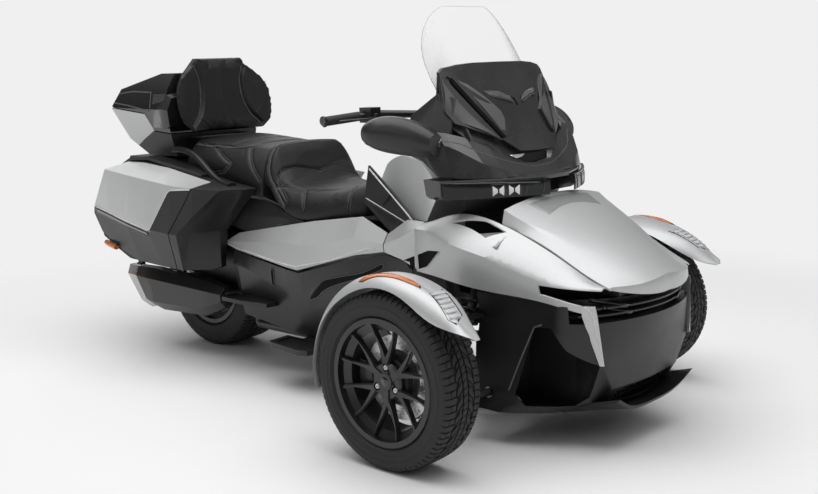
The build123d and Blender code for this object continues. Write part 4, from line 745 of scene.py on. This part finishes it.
# cushions: the pad is filled by a cloth simulation, then drawn in along its seams
pads = {
    "rider_seat": {"fill": 0.75, "voxel": 0.006, "round": 6, "cap": 0.024, "keep": 0.007, "seams": [
        ([(-0.285, 0.0, 0.93), (-0.282, -0.10, 0.932), (-0.276, -0.150, 0.925), (-0.270, -0.195, 0.89),
          (-0.262, -0.225, 0.845), (-0.245, -0.2333, 0.80), (-0.205, -0.237, 0.745), (-0.160, -0.2394, 0.69)],
         0.0055, "pipe"),
        ([(-0.218, 0.0, 0.800), (-0.219, -0.060, 0.815), (-0.217, -0.103, 0.829), (-0.2187, -0.176, 0.828),
          (-0.212, -0.212, 0.806), (-0.190, -0.230, 0.765), (-0.150, -0.238, 0.715)], 0.006, "thread"),
        ([(-0.206, -0.2267, 0.770), (-0.150, -0.195, 0.767), (-0.09, -0.180, 0.766), (-0.03, -0.178, 0.769),
          (0.04, -0.160, 0.780), (0.11, -0.125, 0.795), (0.18, -0.095, 0.805), (0.25, -0.075, 0.81)],
         0.006, "thread"),
        ([(-0.10, -0.182, 0.765), (-0.07, -0.215, 0.735), (-0.05, -0.238, 0.69)], 0.0045, "thread"),
        ([(0.15, -0.105, 0.80), (0.17, -0.17, 0.75), (0.18, -0.21, 0.70)], 0.0045, "thread"),
    ]},
    "passenger_seat": {"fill": 0.7, "voxel": 0.006, "round": 6, "cap": 0.022, "keep": 0.006, "seams": [
        ([(-0.415, 0.0, 0.925), (-0.418, -0.09, 0.922), (-0.432, -0.145, 0.918), (-0.46, -0.178, 0.914),
          (-0.54, -0.190, 0.912), (-0.628, -0.196, 0.912), (-0.71, -0.198, 0.914), (-0.765, -0.190, 0.915)],
         0.0055, "pipe"),
        ([(-0.432, -0.165, 0.915), (-0.385, -0.2115, 0.856), (-0.342, -0.2239, 0.81), (-0.315, -0.230, 0.785)],
         0.0045, "thread"),
        ([(-0.628, -0.1964, 0.911), (-0.565, -0.2150, 0.876), (-0.517, -0.2246, 0.8555), (-0.497, -0.2264, 0.846),
          (-0.515, -0.235, 0.826), (-0.547, -0.2406, 0.810), (-0.62, -0.243, 0.80)], 0.0045, "thread"),
        ([(-0.53, 0.0, 0.93), (-0.53, -0.10, 0.93), (-0.53, -0.185, 0.915)], 0.003, "none"),
    ]},
    "backrest": {"fill": 0.8, "voxel": 0.005, "cap": 0.026, "keep": 0.014, "round": 14, "seams": [
        ([(-0.83, -0.150, 1.262), (-0.835, -0.125, 1.225), (-0.835, -0.110, 1.175), (-0.825, -0.115, 1.10),
          (-0.812, -0.140, 1.035), (-0.79, -0.185, 0.985)], 0.008, "pipe"),
    ]},
}


sewing = {"inset": 0.004, "rise": 0.003, "groove": 0.0085, "step": 0.012, "pipe": 0.0075,
          "rows": {"thread": (0.0065, -0.0065), "pipe": (0.008,)}}
cloth = {"pressure": 4, "quality": 4, "mass": 0.4, "frames": 20}


def cushionMesh(node, v):
    mesh = nodes[node].data.copy()
    mesh.materials.clear()
    ob = bpy.data.objects.new("pad", mesh)
    scene.collection.objects.link(ob)
    remesh = ob.modifiers.new("remesh", "REMESH")
    remesh.mode, remesh.voxel_size, remesh.adaptivity = "VOXEL", v["voxel"], 0
    smooth = ob.modifiers.new("round", "SMOOTH")
    smooth.factor, smooth.iterations = 0.5, v["round"]
    mesh = bpy.data.meshes.new_from_object(ob.evaluated_get(bpy.context.evaluated_depsgraph_get()))
    bpy.data.objects.remove(ob)
    for vert, n in zip(mesh.vertices, [vert.normal.copy() for vert in mesh.vertices]):
        vert.co -= n * sewing["inset"]
    return mesh


def fillPad(mesh, v):  # cloth pressure swells the cover, and each point's move is capped
    ob = bpy.data.objects.new("cloth", mesh)
    scene.collection.objects.link(ob)
    settings = ob.modifiers.new("cloth", "CLOTH").settings
    settings.use_pressure = True
    settings.uniform_pressure_force = cloth["pressure"]
    settings.quality, settings.mass = cloth["quality"], cloth["mass"]
    settings.effector_weights.gravity = 0
    for frameNumber in range(1, cloth["frames"] + 1):
        scene.frame_set(frameNumber)
    swollen = bpy.data.meshes.new_from_object(ob.evaluated_get(bpy.context.evaluated_depsgraph_get()))
    scene.frame_set(1)
    bpy.data.objects.remove(ob)
    moves = []
    for a, b in zip(mesh.vertices, swollen.vertices):
        move = b.co - a.co
        moves.append(move * min(1, v["cap"] / move.length) if move.length > 0 else move)
    return moves


def nearLine(p, line):
    gaps = []
    for a, b in zip(line, line[1:]):
        t = max(0, min(1, (p - a).dot(b - a) / max((b - a).length_squared, 1e-9)))
        gaps.append((p - a - (b - a) * t).length)
    return min(gaps)


def makeCushion(node, v):
    mesh = cushionMesh(node, v)
    skin = treeOf(node)
    normals = [vert.normal.copy() for vert in mesh.vertices]
    rise = [0.5] * len(normals)
    moves = fillPad(mesh, v)
    size = sorted(m.dot(n) for m, n in zip(moves, normals))
    full = max(size[int(len(size) * 0.95)], 0.001)
    rise = [max(-0.3, min(1.0, m.dot(n) / full)) for m, n in zip(moves, normals)]
    lines = []
    for points, depth, kind in v["seams"]:
        for side in (1, -1):
            path = [Vector((x, y * side, z)) for x, y, z in curved(points, sewing["step"])]
            path = [skin.find_nearest(p)[0] for p in path]
            lines.append((path, depth, kind))
    around = 0.03
    boxes = [([min(p[k] for p in line) - around for k in range(3)],
              [max(p[k] for p in line) + around for k in range(3)]) for line, _, _ in lines]
    for i, vert in enumerate(mesh.vertices):
        p, n = vert.co.copy(), normals[i]
        free = 1.0 if n.z > 0 or abs(n.y) > 0.5 or n.x > 0.3 else 0.25  # what faces the frame stays flat
        if node == "backrest":
            free = 1.0 if n.x > -0.2 else 0.2
        move = sewing["rise"] + (v["keep"] + 0.001) * rise[i] * free
        for (line, depth, _), (a, b) in zip(lines, boxes):
            if all(a[k] < p[k] < b[k] for k in range(3)):
                far = nearLine(p, line)
                move -= (depth + max(0.0, move) * 0.6) * math.exp(-(far / sewing["groove"]) ** 2)
        vert.co = p + n * move
    mesh.materials.clear()
    mesh.materials.append(finishes["seat_cover"])
    ob = bpy.data.objects.new(node + "_cover", mesh)
    scene.collection.objects.link(ob)
    for face in mesh.polygons:
        face.use_smooth = True
    fine = ob.modifiers.new("fine", "SUBSURF")
    fine.levels = fine.render_levels = 1
    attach(ob, bodyOf[node])
    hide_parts(node)
    tree = BVHTree.FromPolygons([vert.co for vert in mesh.vertices], [list(f.vertices) for f in mesh.polygons])
    piping = Build(node + "_piping", "greyPiping", "seat_cover", bodyOf[node])
    thread = Build(node + "_thread", "greyThread", "seat_cover", bodyOf[node])
    for line, _, kind in lines:
        laid = [tree.find_nearest(p)[:2] for p in line]
        if len(laid) < 2 or kind == "none":
            continue
        if kind == "pipe":
            piping.bead([(q + n * 0.001, n) for q, n in laid], sewing["pipe"])
        for shift in sewing["rows"][kind]:
            row = []
            for k, (q, n) in enumerate(laid):
                along = laid[min(k + 1, len(laid) - 1)][0] - laid[max(k - 1, 0)][0]
                aside = along.cross(n)
                if aside.length > 0:
                    spot, normal, _, _ = tree.find_nearest(q + aside.normalized() * shift)
                    row.append((spot + normal * 0.0004, normal))
            if len(row) > 1:
                thread.stitches(row)
    if piping.points:
        piping.done(0)
    thread.done(0)


for node, v in pads.items():
    makeCushion(node, v)
    print("cushion made:", node)

# side cases: bright frame line, recessed stripe between two edges, and the signal with its mount
cases = {
    "line": [(-1.245, 0.6375), (-0.772, 0.5775), (-0.748, 0.5850), (-0.6435, 0.738), (-0.625, 0.750),
             (-0.500, 0.7595)],
    "stripe": [(-1.243, 0.628), (-0.779, 0.5665), (-0.776, 0.5545), (-1.246, 0.6130)],
    "above": [(-1.25, 0.6345), (-0.775, 0.573), (-0.757, 0.578)],
    "below": [(-1.246, 0.6115), (-0.785, 0.5515)],
    "signal": [(-1.245, 0.366, 0.470), (-1.215, 0.376, 0.468), (-1.165, 0.386, 0.464), (-1.130, 0.391, 0.462)],
    "mount": [(-1.195, 0.372, 0.482), (-1.160, 0.380, 0.479), (-1.118, 0.388, 0.476)],
    "pods": (("signal", "amberLens", "lamp_lens", 0.026), ("mount", "dark_plastic", "dark_plastic", 0.022)),
}


def makeCases(v):
    for name, side in bothSides:
        lid = "pannier_lid_" + name
        skin = onto(lid, "side", side)
        line = Build("case_line_" + name, "brightTrimAndHighlight", "brushed_steel", lid)
        line.strip(v["line"], skin, 0.0055, 0.004, step=0.01, lift=0.0008)
        line.done(0)
        stripe = Build("case_stripe_" + name, "gloss_black", "gloss_black", lid)
        stripe.plate(v["stripe"], skin, thick=0.005, lift=0.0030, cell=0.02)
        stripe.strip(v["above"], skin, 0.004, 0.004)
        stripe.strip(v["below"], skin, 0.004, 0.004, lift=0.002)
        stripe.done(0.0006)
        out = Vector((0, side, 0))
        for part, finish, slotName, size in v["pods"]:
            pod = Build("case_" + part + "_" + name, finish, slotName, lid)
            pod.bead([(Vector((x, y * side, z)), out) for x, y, z in v[part]], size, size * 1.1, 10)
            pod.done(0.003)


makeCases(cases)

# top case: lines along the lid and a perforated strip beside the backrest
topCase = {
    "lines": [[(-1.30, 1.092), (-1.16, 1.078), (-1.01, 1.056)],
              [(-1.275, 1.128), (-1.15, 1.140), (-1.015, 1.136)],
              [(-1.010, 1.140), (-1.000, 1.068)]],
    "mesh": [(-0.990, 1.128), (-0.985, 1.085), (-0.900, 1.100), (-0.905, 1.130)],
}


def makeTopCase(v):
    for name, side in bothSides:
        skin = onto("top_case_lid", "side", side)
        band = Build("lid_line_" + name, "greyPlasticAndHighlight", "gloss_black", "top_case_lid")
        for path in v["lines"]:
            band.strip(path, skin, 0.0055, 0.003, step=0.01, lift=0.0006)
        band.done(0)
        mesh = Build("lid_mesh_" + name, "speakerMesh", "gloss_black", "top_case_lid")
        mesh.plate(v["mesh"], skin, thick=0.003, lift=0.0014, cell=0.012)
        mesh.done(0.0006)


makeTopCase(topCase)
print("cases made")

# fenders: amber marker in its rim, and a ribbed lamp on its base; outlines as (degrees forward of the top, out)
fender = {
    "axle": (0.857, 0.281), "far": 0.8, "radius": 0.33, "cell": 4,
    "rim": [(-15, 0.762), (-12, 0.748), (-3, 0.728), (8, 0.715), (17, 0.712), (24, 0.720), (26, 0.733),
            (18, 0.741), (8, 0.746), (-2, 0.752), (-11, 0.766)],
    "lens": [(-14, 0.7610), (-12, 0.7510), (-3, 0.7315), (8, 0.7185), (17, 0.7160), (23, 0.7225), (24.5, 0.731),
             (17, 0.7375), (8, 0.7425), (-2, 0.7485), (-11, 0.763)],
    "base": [(31, 0.728), (29, 0.655), (49, 0.690), (53, 0.742), (49, 0.752)],
    "ribs": 6, "pitch": 3.2, "from": 31.5, "to": 33.7, "inner": (0.668, 0.0075), "outer": (0.726, 0.0035),
}


def makeFenders(v):
    cx, cz = v["axle"]
    for name, side in bothSides:
        body = "front_knuckle_" + name
        tree = treeOf("front_fender_" + name)

        def skin(turn, y):
            a = math.radians(turn)
            way = Vector((-math.sin(a), 0, -math.cos(a)))
            start = Vector((cx, y * side, cz)) - way * v["far"]
            hit = tree.ray_cast(start, way)[0]
            if hit is None:
                hit = tree.find_nearest(start + way * (v["far"] - v["radius"]))[0]
            return hit, -way
        for part, finish, slotName, outline, thick, lift in (
                ("marker_rim_", "gloss_black", "gloss_black", v["rim"], 0.004, 0.0012),
                ("marker_lens_", "amberLens", "lamp_lens", v["lens"], 0.006, 0.0032),
                ("front_signal_base_", "gloss_black", "gloss_black", v["base"], 0.004, 0.0012)):
            piece = Build(part + name, finish, slotName, body)
            piece.plate(outline, skin, thick, lift, v["cell"])
            piece.done(0)
        lens = Build("front_signal_" + name, "clearLens", "lamp_lens", body)
        for k in range(v["ribs"]):
            a, b = v["from"] + k * v["pitch"], v["to"] + k * v["pitch"]
            low, high = (start + k * step for start, step in (v["inner"], v["outer"]))
            lens.plate([(a, low), (b, low + 0.004), (b, high + 0.002), (a, high)],
                       skin, thick=0.006, lift=0.0042, cell=v["cell"])
        lens.done(0)


makeFenders(fender)
print("fender lamps made")

# nose: outlet at the rear of each side panel, covered with painted shade, with a painted highlight along its lower
# edge
nose = {"outlet": [(0.650, 0.598), (0.700, 0.617), (0.775, 0.625), (0.690, 0.560), (0.650, 0.546)],
        "behind": [(0.560, 0.565), (0.628, 0.590), (0.628, 0.545), (0.590, 0.538)]}


def makeNose(v):
    for name, side in bothSides:
        skin = onto("nose_side_panels", "side", side)
        # the outlet and the cover behind it: near-black plates of painted shade
        outlet = Build("nose_outlet_" + name, "shadowGap", "gloss_black", "chassis")
        outlet.plate(v["outlet"], skin, thick=0.004, lift=0.0014, cell=0.012)
        covers = onto(("tank_cover", "lower_side_covers"), "side", side)
        outlet.plate(v["behind"], covers, thick=0.004, lift=0.0014, cell=0.012)
        outlet.done(0.0005)
        # painted highlight along the outlet's lower edge
        rim = Build("nose_outlet_rim_" + name, "brightTrimAndHighlight", "silver_paint", "chassis")
        rim.strip(v["outlet"][2:], skin, 0.003, 0.003, step=0.01, lift=0.001, around=6)
        rim.done(0)


makeNose(nose)
print("nose details made")

# cowl: paler wedges beside the slots, painted light on those facets; a pale slat over its lip; painted highlights
# along the lower band's edge and the slat's lip; and the mouth, covered with painted shade
cowl = {
    "outer": [(-0.282, 1.178), (-0.248, 1.180), (-0.196, 1.092), (-0.160, 1.022), (-0.152, 0.978), (-0.219, 1.016),
              (-0.294, 1.052), (-0.300, 1.080)],
    "inner": [(-0.228, 1.180), (-0.198, 1.165), (-0.150, 1.117), (-0.117, 1.073), (-0.115, 1.045), (-0.132, 1.003),
              (-0.143, 1.003), (-0.184, 1.092)],
    "slat": [(-0.150, 1.143), (-0.080, 1.134), (-0.034, 1.116), (-0.024, 1.100), (-0.048, 1.108), (-0.090, 1.118),
             (-0.125, 1.124)],
    "lip": [(-0.124, 1.120), (-0.090, 1.114), (-0.050, 1.104), (-0.026, 1.096)],
    "band": [(-0.352, 0.985), (-0.300, 0.972), (-0.240, 0.938), (-0.156, 0.908), (-0.066, 0.886), (0.0, 0.882)],
    "above": 0.924,
    "mouth": [(0.770, -0.155), (0.850, -0.155), (0.866, -0.112), (0.873, -0.080), (0.873, 0.080), (0.850, 0.112),
              (0.770, 0.112)],
}


def makeCowl(v):
    skin = onto("cowl", "front")
    for name, side in bothSides:
        def turned(points):
            return [(-y * side, z) for y, z in points]
        # painted light: paler plates on the facets beside the slots
        wedge = Build("cowl_wedges_" + name, "greyPlasticAndHighlight", "gloss_black", "chassis")
        for part in ("outer", "inner"):
            wedge.plate(turned(v[part]), smoothed(skin, turned(v[part])), thick=0.004, lift=0.0016, cell=0.012)
        wedge.done(0.0008)
        slat = Build("cowl_slat_" + name, "paleSlat", "gloss_black", "chassis")
        flat = smoothed(skin, turned(v["slat"]))
        slat.plate(turned(v["slat"]), flat, thick=0.005, lift=0.0026, cell=0.012)
        slat.done(0.001)
        # painted highlights along the band's edge and the lip
        lines = Build("cowl_lines_" + name, "greyPlasticAndHighlight", "gloss_black", "chassis")
        lines.strip(turned(v["band"]), skin, 0.004, 0.003, smooth=True)
        lines.strip(turned(v["lip"]), flat, 0.0035, 0.003, lift=0.0022, smooth=True)
        lines.done(0)
    # the mouth's lit floor covered with a near-black plate: painted shade
    mouth = Build("cowl_mouth", "shadowGap", "gloss_black", "chassis")
    mouth.plate(v["mouth"], onto("cowl", "top", back=v["above"]), thick=0.004, lift=0.0015, cell=0.02)
    mouth.done(0)


makeCowl(cowl)

# screen: a thin rim round the clear sheet, found row by row from its outermost skin
screen = {"rim": 0.0018, "rows": 40, "foot": 0.006, "head": 0.004, "reach": 0.268, "step": 0.0017, "tries": 160}


def makeScreenRim(v):
    tree = treeOf("windscreen")
    low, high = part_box("windscreen")
    bottom, tall = low.z + v["foot"], high.z - low.z - v["foot"] - v["head"]
    edges = []
    for side in (1, -1):
        rim = []
        for k in range(v["rows"]):
            z = bottom + tall * k / (v["rows"] - 1)
            for i in range(v["tries"]):
                hit = tree.ray_cast(Vector((2, side * (v["reach"] - i * v["step"]), z)), Vector((-1, 0, 0)))[0]
                if hit is not None:
                    rim.append((hit - Vector((0.002, 0, 0)), Vector((1, 0, 0))))
                    break
        edges.append(rim)
    piece = Build("screen_rim", "screenEdge", "clear_screen", "chassis")
    piece.bead(edges[0] + edges[1][::-1], v["rim"], 0.003, 6)
    piece.done(0)


makeScreenRim(screen)
print("cowl made")

# lamp unit: projector blocks with their bright chips, dividers behind the clear cover, and a line along its top
lamps = {"blocks": [(-0.246, 0.819), (-0.197, 0.819)], "half": 0.017, "edge": 0.004, "divider": [-0.16, -0.10],
         "lean": 0.006, "low": 0.800, "high": 0.846,
         "line": [(0.385, 0.8505), (0.25, 0.8455), (0.11, 0.838)]}


def makeLamps(v):
    skin = onto("headlamp_lenses", "front")
    r = v["half"]
    for name, side in bothSides:
        chips = Build("lamp_chips_" + name, "ledChip", "lamp_lens", "chassis")
        bezels = Build("lamp_bezels_" + name, "gloss_black", "gloss_black", "chassis")
        for y, z in v["blocks"]:
            y = -y * side
            for way in (-1, 1):
                wide, narrow = y + way * r, y + way * r * 0.15
                chips.plate([(wide, z - r), (wide, z + r), (narrow, z + r * 0.35), (narrow, z - r * 0.35)],
                            skin, thick=0.002, lift=0.0012, cell=0.02)
            ring = [(y + across * (r + v["edge"]), z + up * (r + v["edge"]))
                    for across, up in ((-1, -1), (1, -1), (1, 1), (-1, 1))]
            bezels.strip(ring, skin, 0.003, 0.003, lift=0.0008, closed=True, around=6)
        for y in v["divider"]:
            bezels.strip([(-y * side, v["low"]), (-(y + v["lean"]) * side, v["high"])], skin, 0.004, 0.003,
                         step=0.01, lift=0.0006, around=6)
        chips.done(0)
        bezels.done(0)
        trim = Build("lamp_line_" + name, "greyPlasticAndHighlight", "dark_plastic", "chassis")
        house = onto(("headlamp_housing", "headlamp_lenses"), "front")
        trim.strip([(y * side, z) for y, z in v["line"]], house, 0.004, 0.003, step=0.015, lift=0.0006,
                   smooth=True, around=6)
        trim.done(0)


makeLamps(lamps)

# dark closing panels, sheets of painted shade in the openings: under the lamps, behind the hood, and inboard of the
# silencer
closers = {"lamp_valance": {"wide": 0.27, "low": 0.735, "high": 0.802, "back": 0.79, "bow": 0.10, "thick": 0.004},
           "nose_bulkhead": {"wide": 0.265, "low": 0.57, "high": 0.738, "back": 0.785, "bow": 0.02, "thick": 0.004}}
shield = {"from": (-1.09, -0.196, 0.335), "to": (-0.43, -0.196, 0.475), "thick": 0.003}


def makeCloser(name, v):
    panel = Build(name, "dark_plastic", "dark_plastic", "chassis")
    count, points, faces = 24, [], []
    for k in range(count + 1):
        y = v["wide"] * (2 * k / count - 1)
        x = v["back"] + v["bow"] * (1 - (y / v["wide"]) ** 2)
        for z, lean in ((v["low"], -0.02), (0.5 * (v["low"] + v["high"]), 0.0), (v["high"], 0.01)):
            points += [(x + lean, y, z), (x + lean - v["thick"], y, z)]
    for k in range(count):
        a, b = k * 6, k * 6 + 6
        for i, j in ((0, 2), (2, 4), (3, 1), (5, 3), (1, 0), (4, 5)):
            faces.append([a + i, b + i, b + j, a + j])
    faces += [[0, 2, 3, 1], [2, 4, 5, 3]]
    faces += [[count * 6 + i for i in ring] for ring in ((0, 1, 3, 2), (2, 3, 5, 4))]
    panel.add(points, faces)
    panel.done(0)


def makeShield(v):
    plate = Build("silencer_shield", "dark_plastic", "dark_plastic", "chassis")
    (x0, y, z0), (x1, _, z1) = v["from"], v["to"]

    def flat(x, z):
        return Vector((x, y, z)), Vector((0, -1, 0))
    outline = [(x0, z0 + 0.03), (x0 + 0.05, z1), (x1, z1), (x1, z0 + 0.02), (x1 - 0.06, z0)]
    plate.plate(outline, flat, thick=v["thick"], lift=0.0, cell=0.04)
    plate.done(0.001)


for name, v in closers.items():
    makeCloser(name, v)
makeShield(shield)
print("lamp details made")

# knee panels: frame along the front edge and an inner line, both painted highlights; a dark bar and the dark lower
# part
knee = {
    "line": [(0.300, 0.7555), (0.555, 0.6885)],
    "front": [(0.299, 0.8600), (0.440, 0.7810), (0.556, 0.7155), (0.578, 0.7015)],
    "bar": [(0.400, 0.738), (0.415, 0.733), (0.456, 0.773), (0.440, 0.781)],
    "low": [(0.322, 0.742), (0.392, 0.700), (0.480, 0.652), (0.555, 0.683)],
}


def makeKnees(v):
    for name, side in bothSides:
        skin = onto("knee_panels", "side", side)
        # painted highlights along the panel's front edge and inner line
        bright = Build("knee_lines_" + name, "brightTrimAndHighlight", "silver_paint", "chassis")
        bright.strip(v["front"], skin, 0.0065, 0.005, lift=0.0006)
        bright.strip(v["line"], skin, 0.0035, 0.003, lift=0.0006)
        bright.done(0)
        dark = Build("knee_insert_" + name, "gloss_black", "gloss_black", "chassis")
        dark.plate(v["bar"], skin, thick=0.004, lift=0.0014, cell=0.012)
        dark.plate(v["low"], skin, thick=0.004, lift=0.0012, cell=0.015)
        dark.done(0.0006)


makeKnees(knee)

# side panels: a painted highlight along the lower edge; lower covers: the duct's recess, covered with painted shade,
# its rim and the slot's rim
flank = {
    "edge": [(-0.500, 0.513), (-0.389, 0.504), (-0.150, 0.490), (0.010, 0.486), (0.20, 0.530), (0.377, 0.588),
             (0.420, 0.592)],
    "duct": [(0.446, 0.539), (0.345, 0.497), (0.144, 0.445), (0.053, 0.362), (0.103, 0.377), (0.180, 0.425),
             (0.345, 0.480), (0.45, 0.522)],
    "slot": [(-0.182, 0.394), (-0.182, 0.446), (-0.173, 0.455), (-0.164, 0.446), (-0.164, 0.394), (-0.173, 0.385)],
}


def makeFlanks(v):
    for name, side in bothSides:
        skin = onto("side_panels", "side", side)
        # painted highlight along the panel's lower edge
        edge = Build("flank_edge_" + name, "brightTrimAndHighlight", "silver_paint", "chassis")
        edge.strip(v["edge"], skin, 0.0055, 0.004, lift=0.0012)
        edge.done(0)
        lower = onto("lower_side_covers", "side", side)
        rims = Build("flank_rims_" + name, "gloss_black", "gloss_black", "chassis")
        rims.strip(v["slot"], lower, 0.005, 0.005, step=0.008, lift=0.001, smooth=True, closed=True)
        rims.strip(v["duct"], lower, 0.005, 0.004, smooth=True, closed=True)
        rims.done(0)
        # the duct's recess: a near-black plate of painted shade
        recess = Build("flank_duct_" + name, "shadowGap", "gloss_black", "chassis")
        recess.plate(v["duct"], lower, thick=0.003, lift=0.0010, cell=0.015)
        recess.done(0)


makeFlanks(flank)
print("flanks made")

# front: a painted highlight down each blade's edge, rims of the intakes, slats above the fascia, grille, and the
# hood's step, covered with darker silver as painted shade
front = {
    "blade": [(1.160, -0.356, 0.522), (1.250, -0.330, 0.507), (1.300, -0.308, 0.488), (1.313, -0.2955, 0.460),
              (1.331, -0.264, 0.306)],
    "rim": [(1.156, -0.345, 0.424), (1.127, -0.350, 0.413), (1.075, -0.350, 0.300), (1.028, -0.350, 0.192),
            (1.062, -0.305, 0.168)],
    "slats": [[(-0.235, 0.497), (-0.158, 0.476), (-0.060, 0.462), (0.0, 0.460)],
              [(-0.240, 0.478), (-0.158, 0.457), (-0.060, 0.443), (0.0, 0.441)]],
    "grille": (0.150, 0.158, 0.212),
    "recess": [(0.980, -0.172), (1.050, -0.150), (1.036, -0.075), (1.031, 0.0), (1.036, 0.075), (1.050, 0.150),
               (0.980, 0.172)],
}


def makeFront(v):
    for name, side in bothSides:
        # painted highlight down the blade's edge
        edge = Build("blade_edge_" + name, "brightTrimAndHighlight", "silver_paint", "chassis")
        edge.strip([(x, -y * side, z) for x, y, z in v["blade"]], beside("nose_side_panels"), 0.005, 0.005, step=0.01)
        edge.done(0)
        slats = Build("fascia_slats_" + name, "gloss_black", "gloss_black", "chassis")
        face = onto("front_fascia", "front")
        for row in v["slats"]:
            slats.strip([(-y * side, z) for y, z in row], face, 0.014, 0.006, step=0.015, lift=0.002, smooth=True)
        slats.done(0)
        rim = Build("intake_rim_" + name, "greyPlasticAndHighlight", "dark_plastic", "chassis")
        rim.strip([(x, -y * side, z) for x, y, z in v["rim"]], beside("front_fascia"), 0.006, 0.006, step=0.01)
        rim.done(0)
    half, low, high = v["grille"]
    grille = Build("lower_grille", "speakerMesh", "gloss_black", "chassis")
    face = onto(("front_fascia", "splitter"), "front")
    outline = [(-half, low + 0.014), (half, low + 0.014), (half * 0.8, high), (-half * 0.8, high)]
    grille.plate(outline, face, thick=0.004, lift=0.002, cell=0.02)
    grille.done(0)
    # the hood's recess covered with the darker silver: painted shade
    step = Build("hood_recess", "recessShadePaint", "silver_paint", "hood")
    step.plate(v["recess"], onto("hood", "top"), thick=0.003, lift=0.0008, cell=0.02)
    step.done(0)


makeFront(front)
print("front made")

# handlebar: levers on their pivots, bar ends, and switch pods with three keys
bars = {
    "lever": [(0.352, 0.232), (0.372, 0.262), (0.365, 0.310), (0.345, 0.360), (0.330, 0.392)],
    "pivot": [(-0.012, 0.002), (-0.012, 0.011), (0.010, 0.011), (0.013, 0.008), (0.013, 0.002)],
    "tip": [(-0.004, 0.002), (-0.004, 0.017), (0.003, 0.017), (0.0055, 0.013), (0.0055, 0.002)],
    "pod": [(-0.034, 0.002), (-0.034, 0.016), (-0.026, 0.025), (0.020, 0.027), (0.029, 0.020), (0.029, 0.002)],
    "keys": ((0.222, 1.062), (0.222, 1.048), (0.238, 1.055)),
    "high": 1.050, "end": 0.4035, "grip": 0.017, "gripAt": (0.262, 0.400),
    "podAt": (0.318, 0.226, 1.056), "podTurn": 0.25,
}


def makeBars(v):
    for name, side in bothSides:
        lever = Build("lever_" + name, "black_metal", "black_metal", "handlebar")
        line = [(Vector((x, y * side, v["high"] - 0.10 * (y - 0.23) * 0.4)), Vector((0, 0, 1)))
                for x, y in curved(v["lever"], 0.01)]
        lever.bead(line, 0.011, 0.007, 10)
        x, y = v["lever"][0]
        lever.spun((x, y * side, v["high"]), (0, 0, 1), v["pivot"], 20)
        lever.done(0)
        tip = Build("bar_end_" + name, "gloss_black", "gloss_black", "handlebar")
        top = onto("grips", "top")(v["gripAt"][0], v["gripAt"][1] * side)[0]
        tip.spun((top.x, v["end"] * side, top.z - v["grip"]), (0, side, 0), v["tip"], 24)
        tip.done(0.0005)
        pod = Build("switch_pod_" + name, "dark_plastic", "dark_plastic", "handlebar")
        x, y, z = v["podAt"]
        pod.spun((x, y * side, z), (v["podTurn"], side, 0), v["pod"], 28)
        pod.done(0.0015)
        keys = Build("switches_" + name, "greyPlasticAndHighlight", "grip_rubber", "handlebar")
        rear = onto("switch_pod_" + name, "rear")
        for y, z in v["keys"]:
            keys.plate([(y * side - 0.005, z - 0.004), (y * side + 0.005, z - 0.004),
                        (y * side + 0.004, z + 0.004), (y * side - 0.004, z + 0.004)], rear, 0.004, 0.003, 0.01)
        keys.done(0.0006)


makeBars(bars)

# mirrors: a glass in each housing's rear face
mirror = {"glass": [(-0.475, 0.985), (-0.440, 0.960), (-0.370, 0.962), (-0.345, 0.990), (-0.350, 1.025),
                    (-0.440, 1.035), (-0.470, 1.015)]}


def makeMirrors(v):
    for name, side in bothSides:
        skin = onto("mirrors", "rear")
        glass = Build("mirror_glass_" + name, "mirrorGlass", "brushed_steel", "chassis")
        glass.plate([(-y * side, z) for y, z in v["glass"]], skin, thick=0.004, lift=0.0025, cell=0.012)
        glass.done(0.0008)


makeMirrors(mirror)
print("controls made")

bpy.context.view_layer.update()
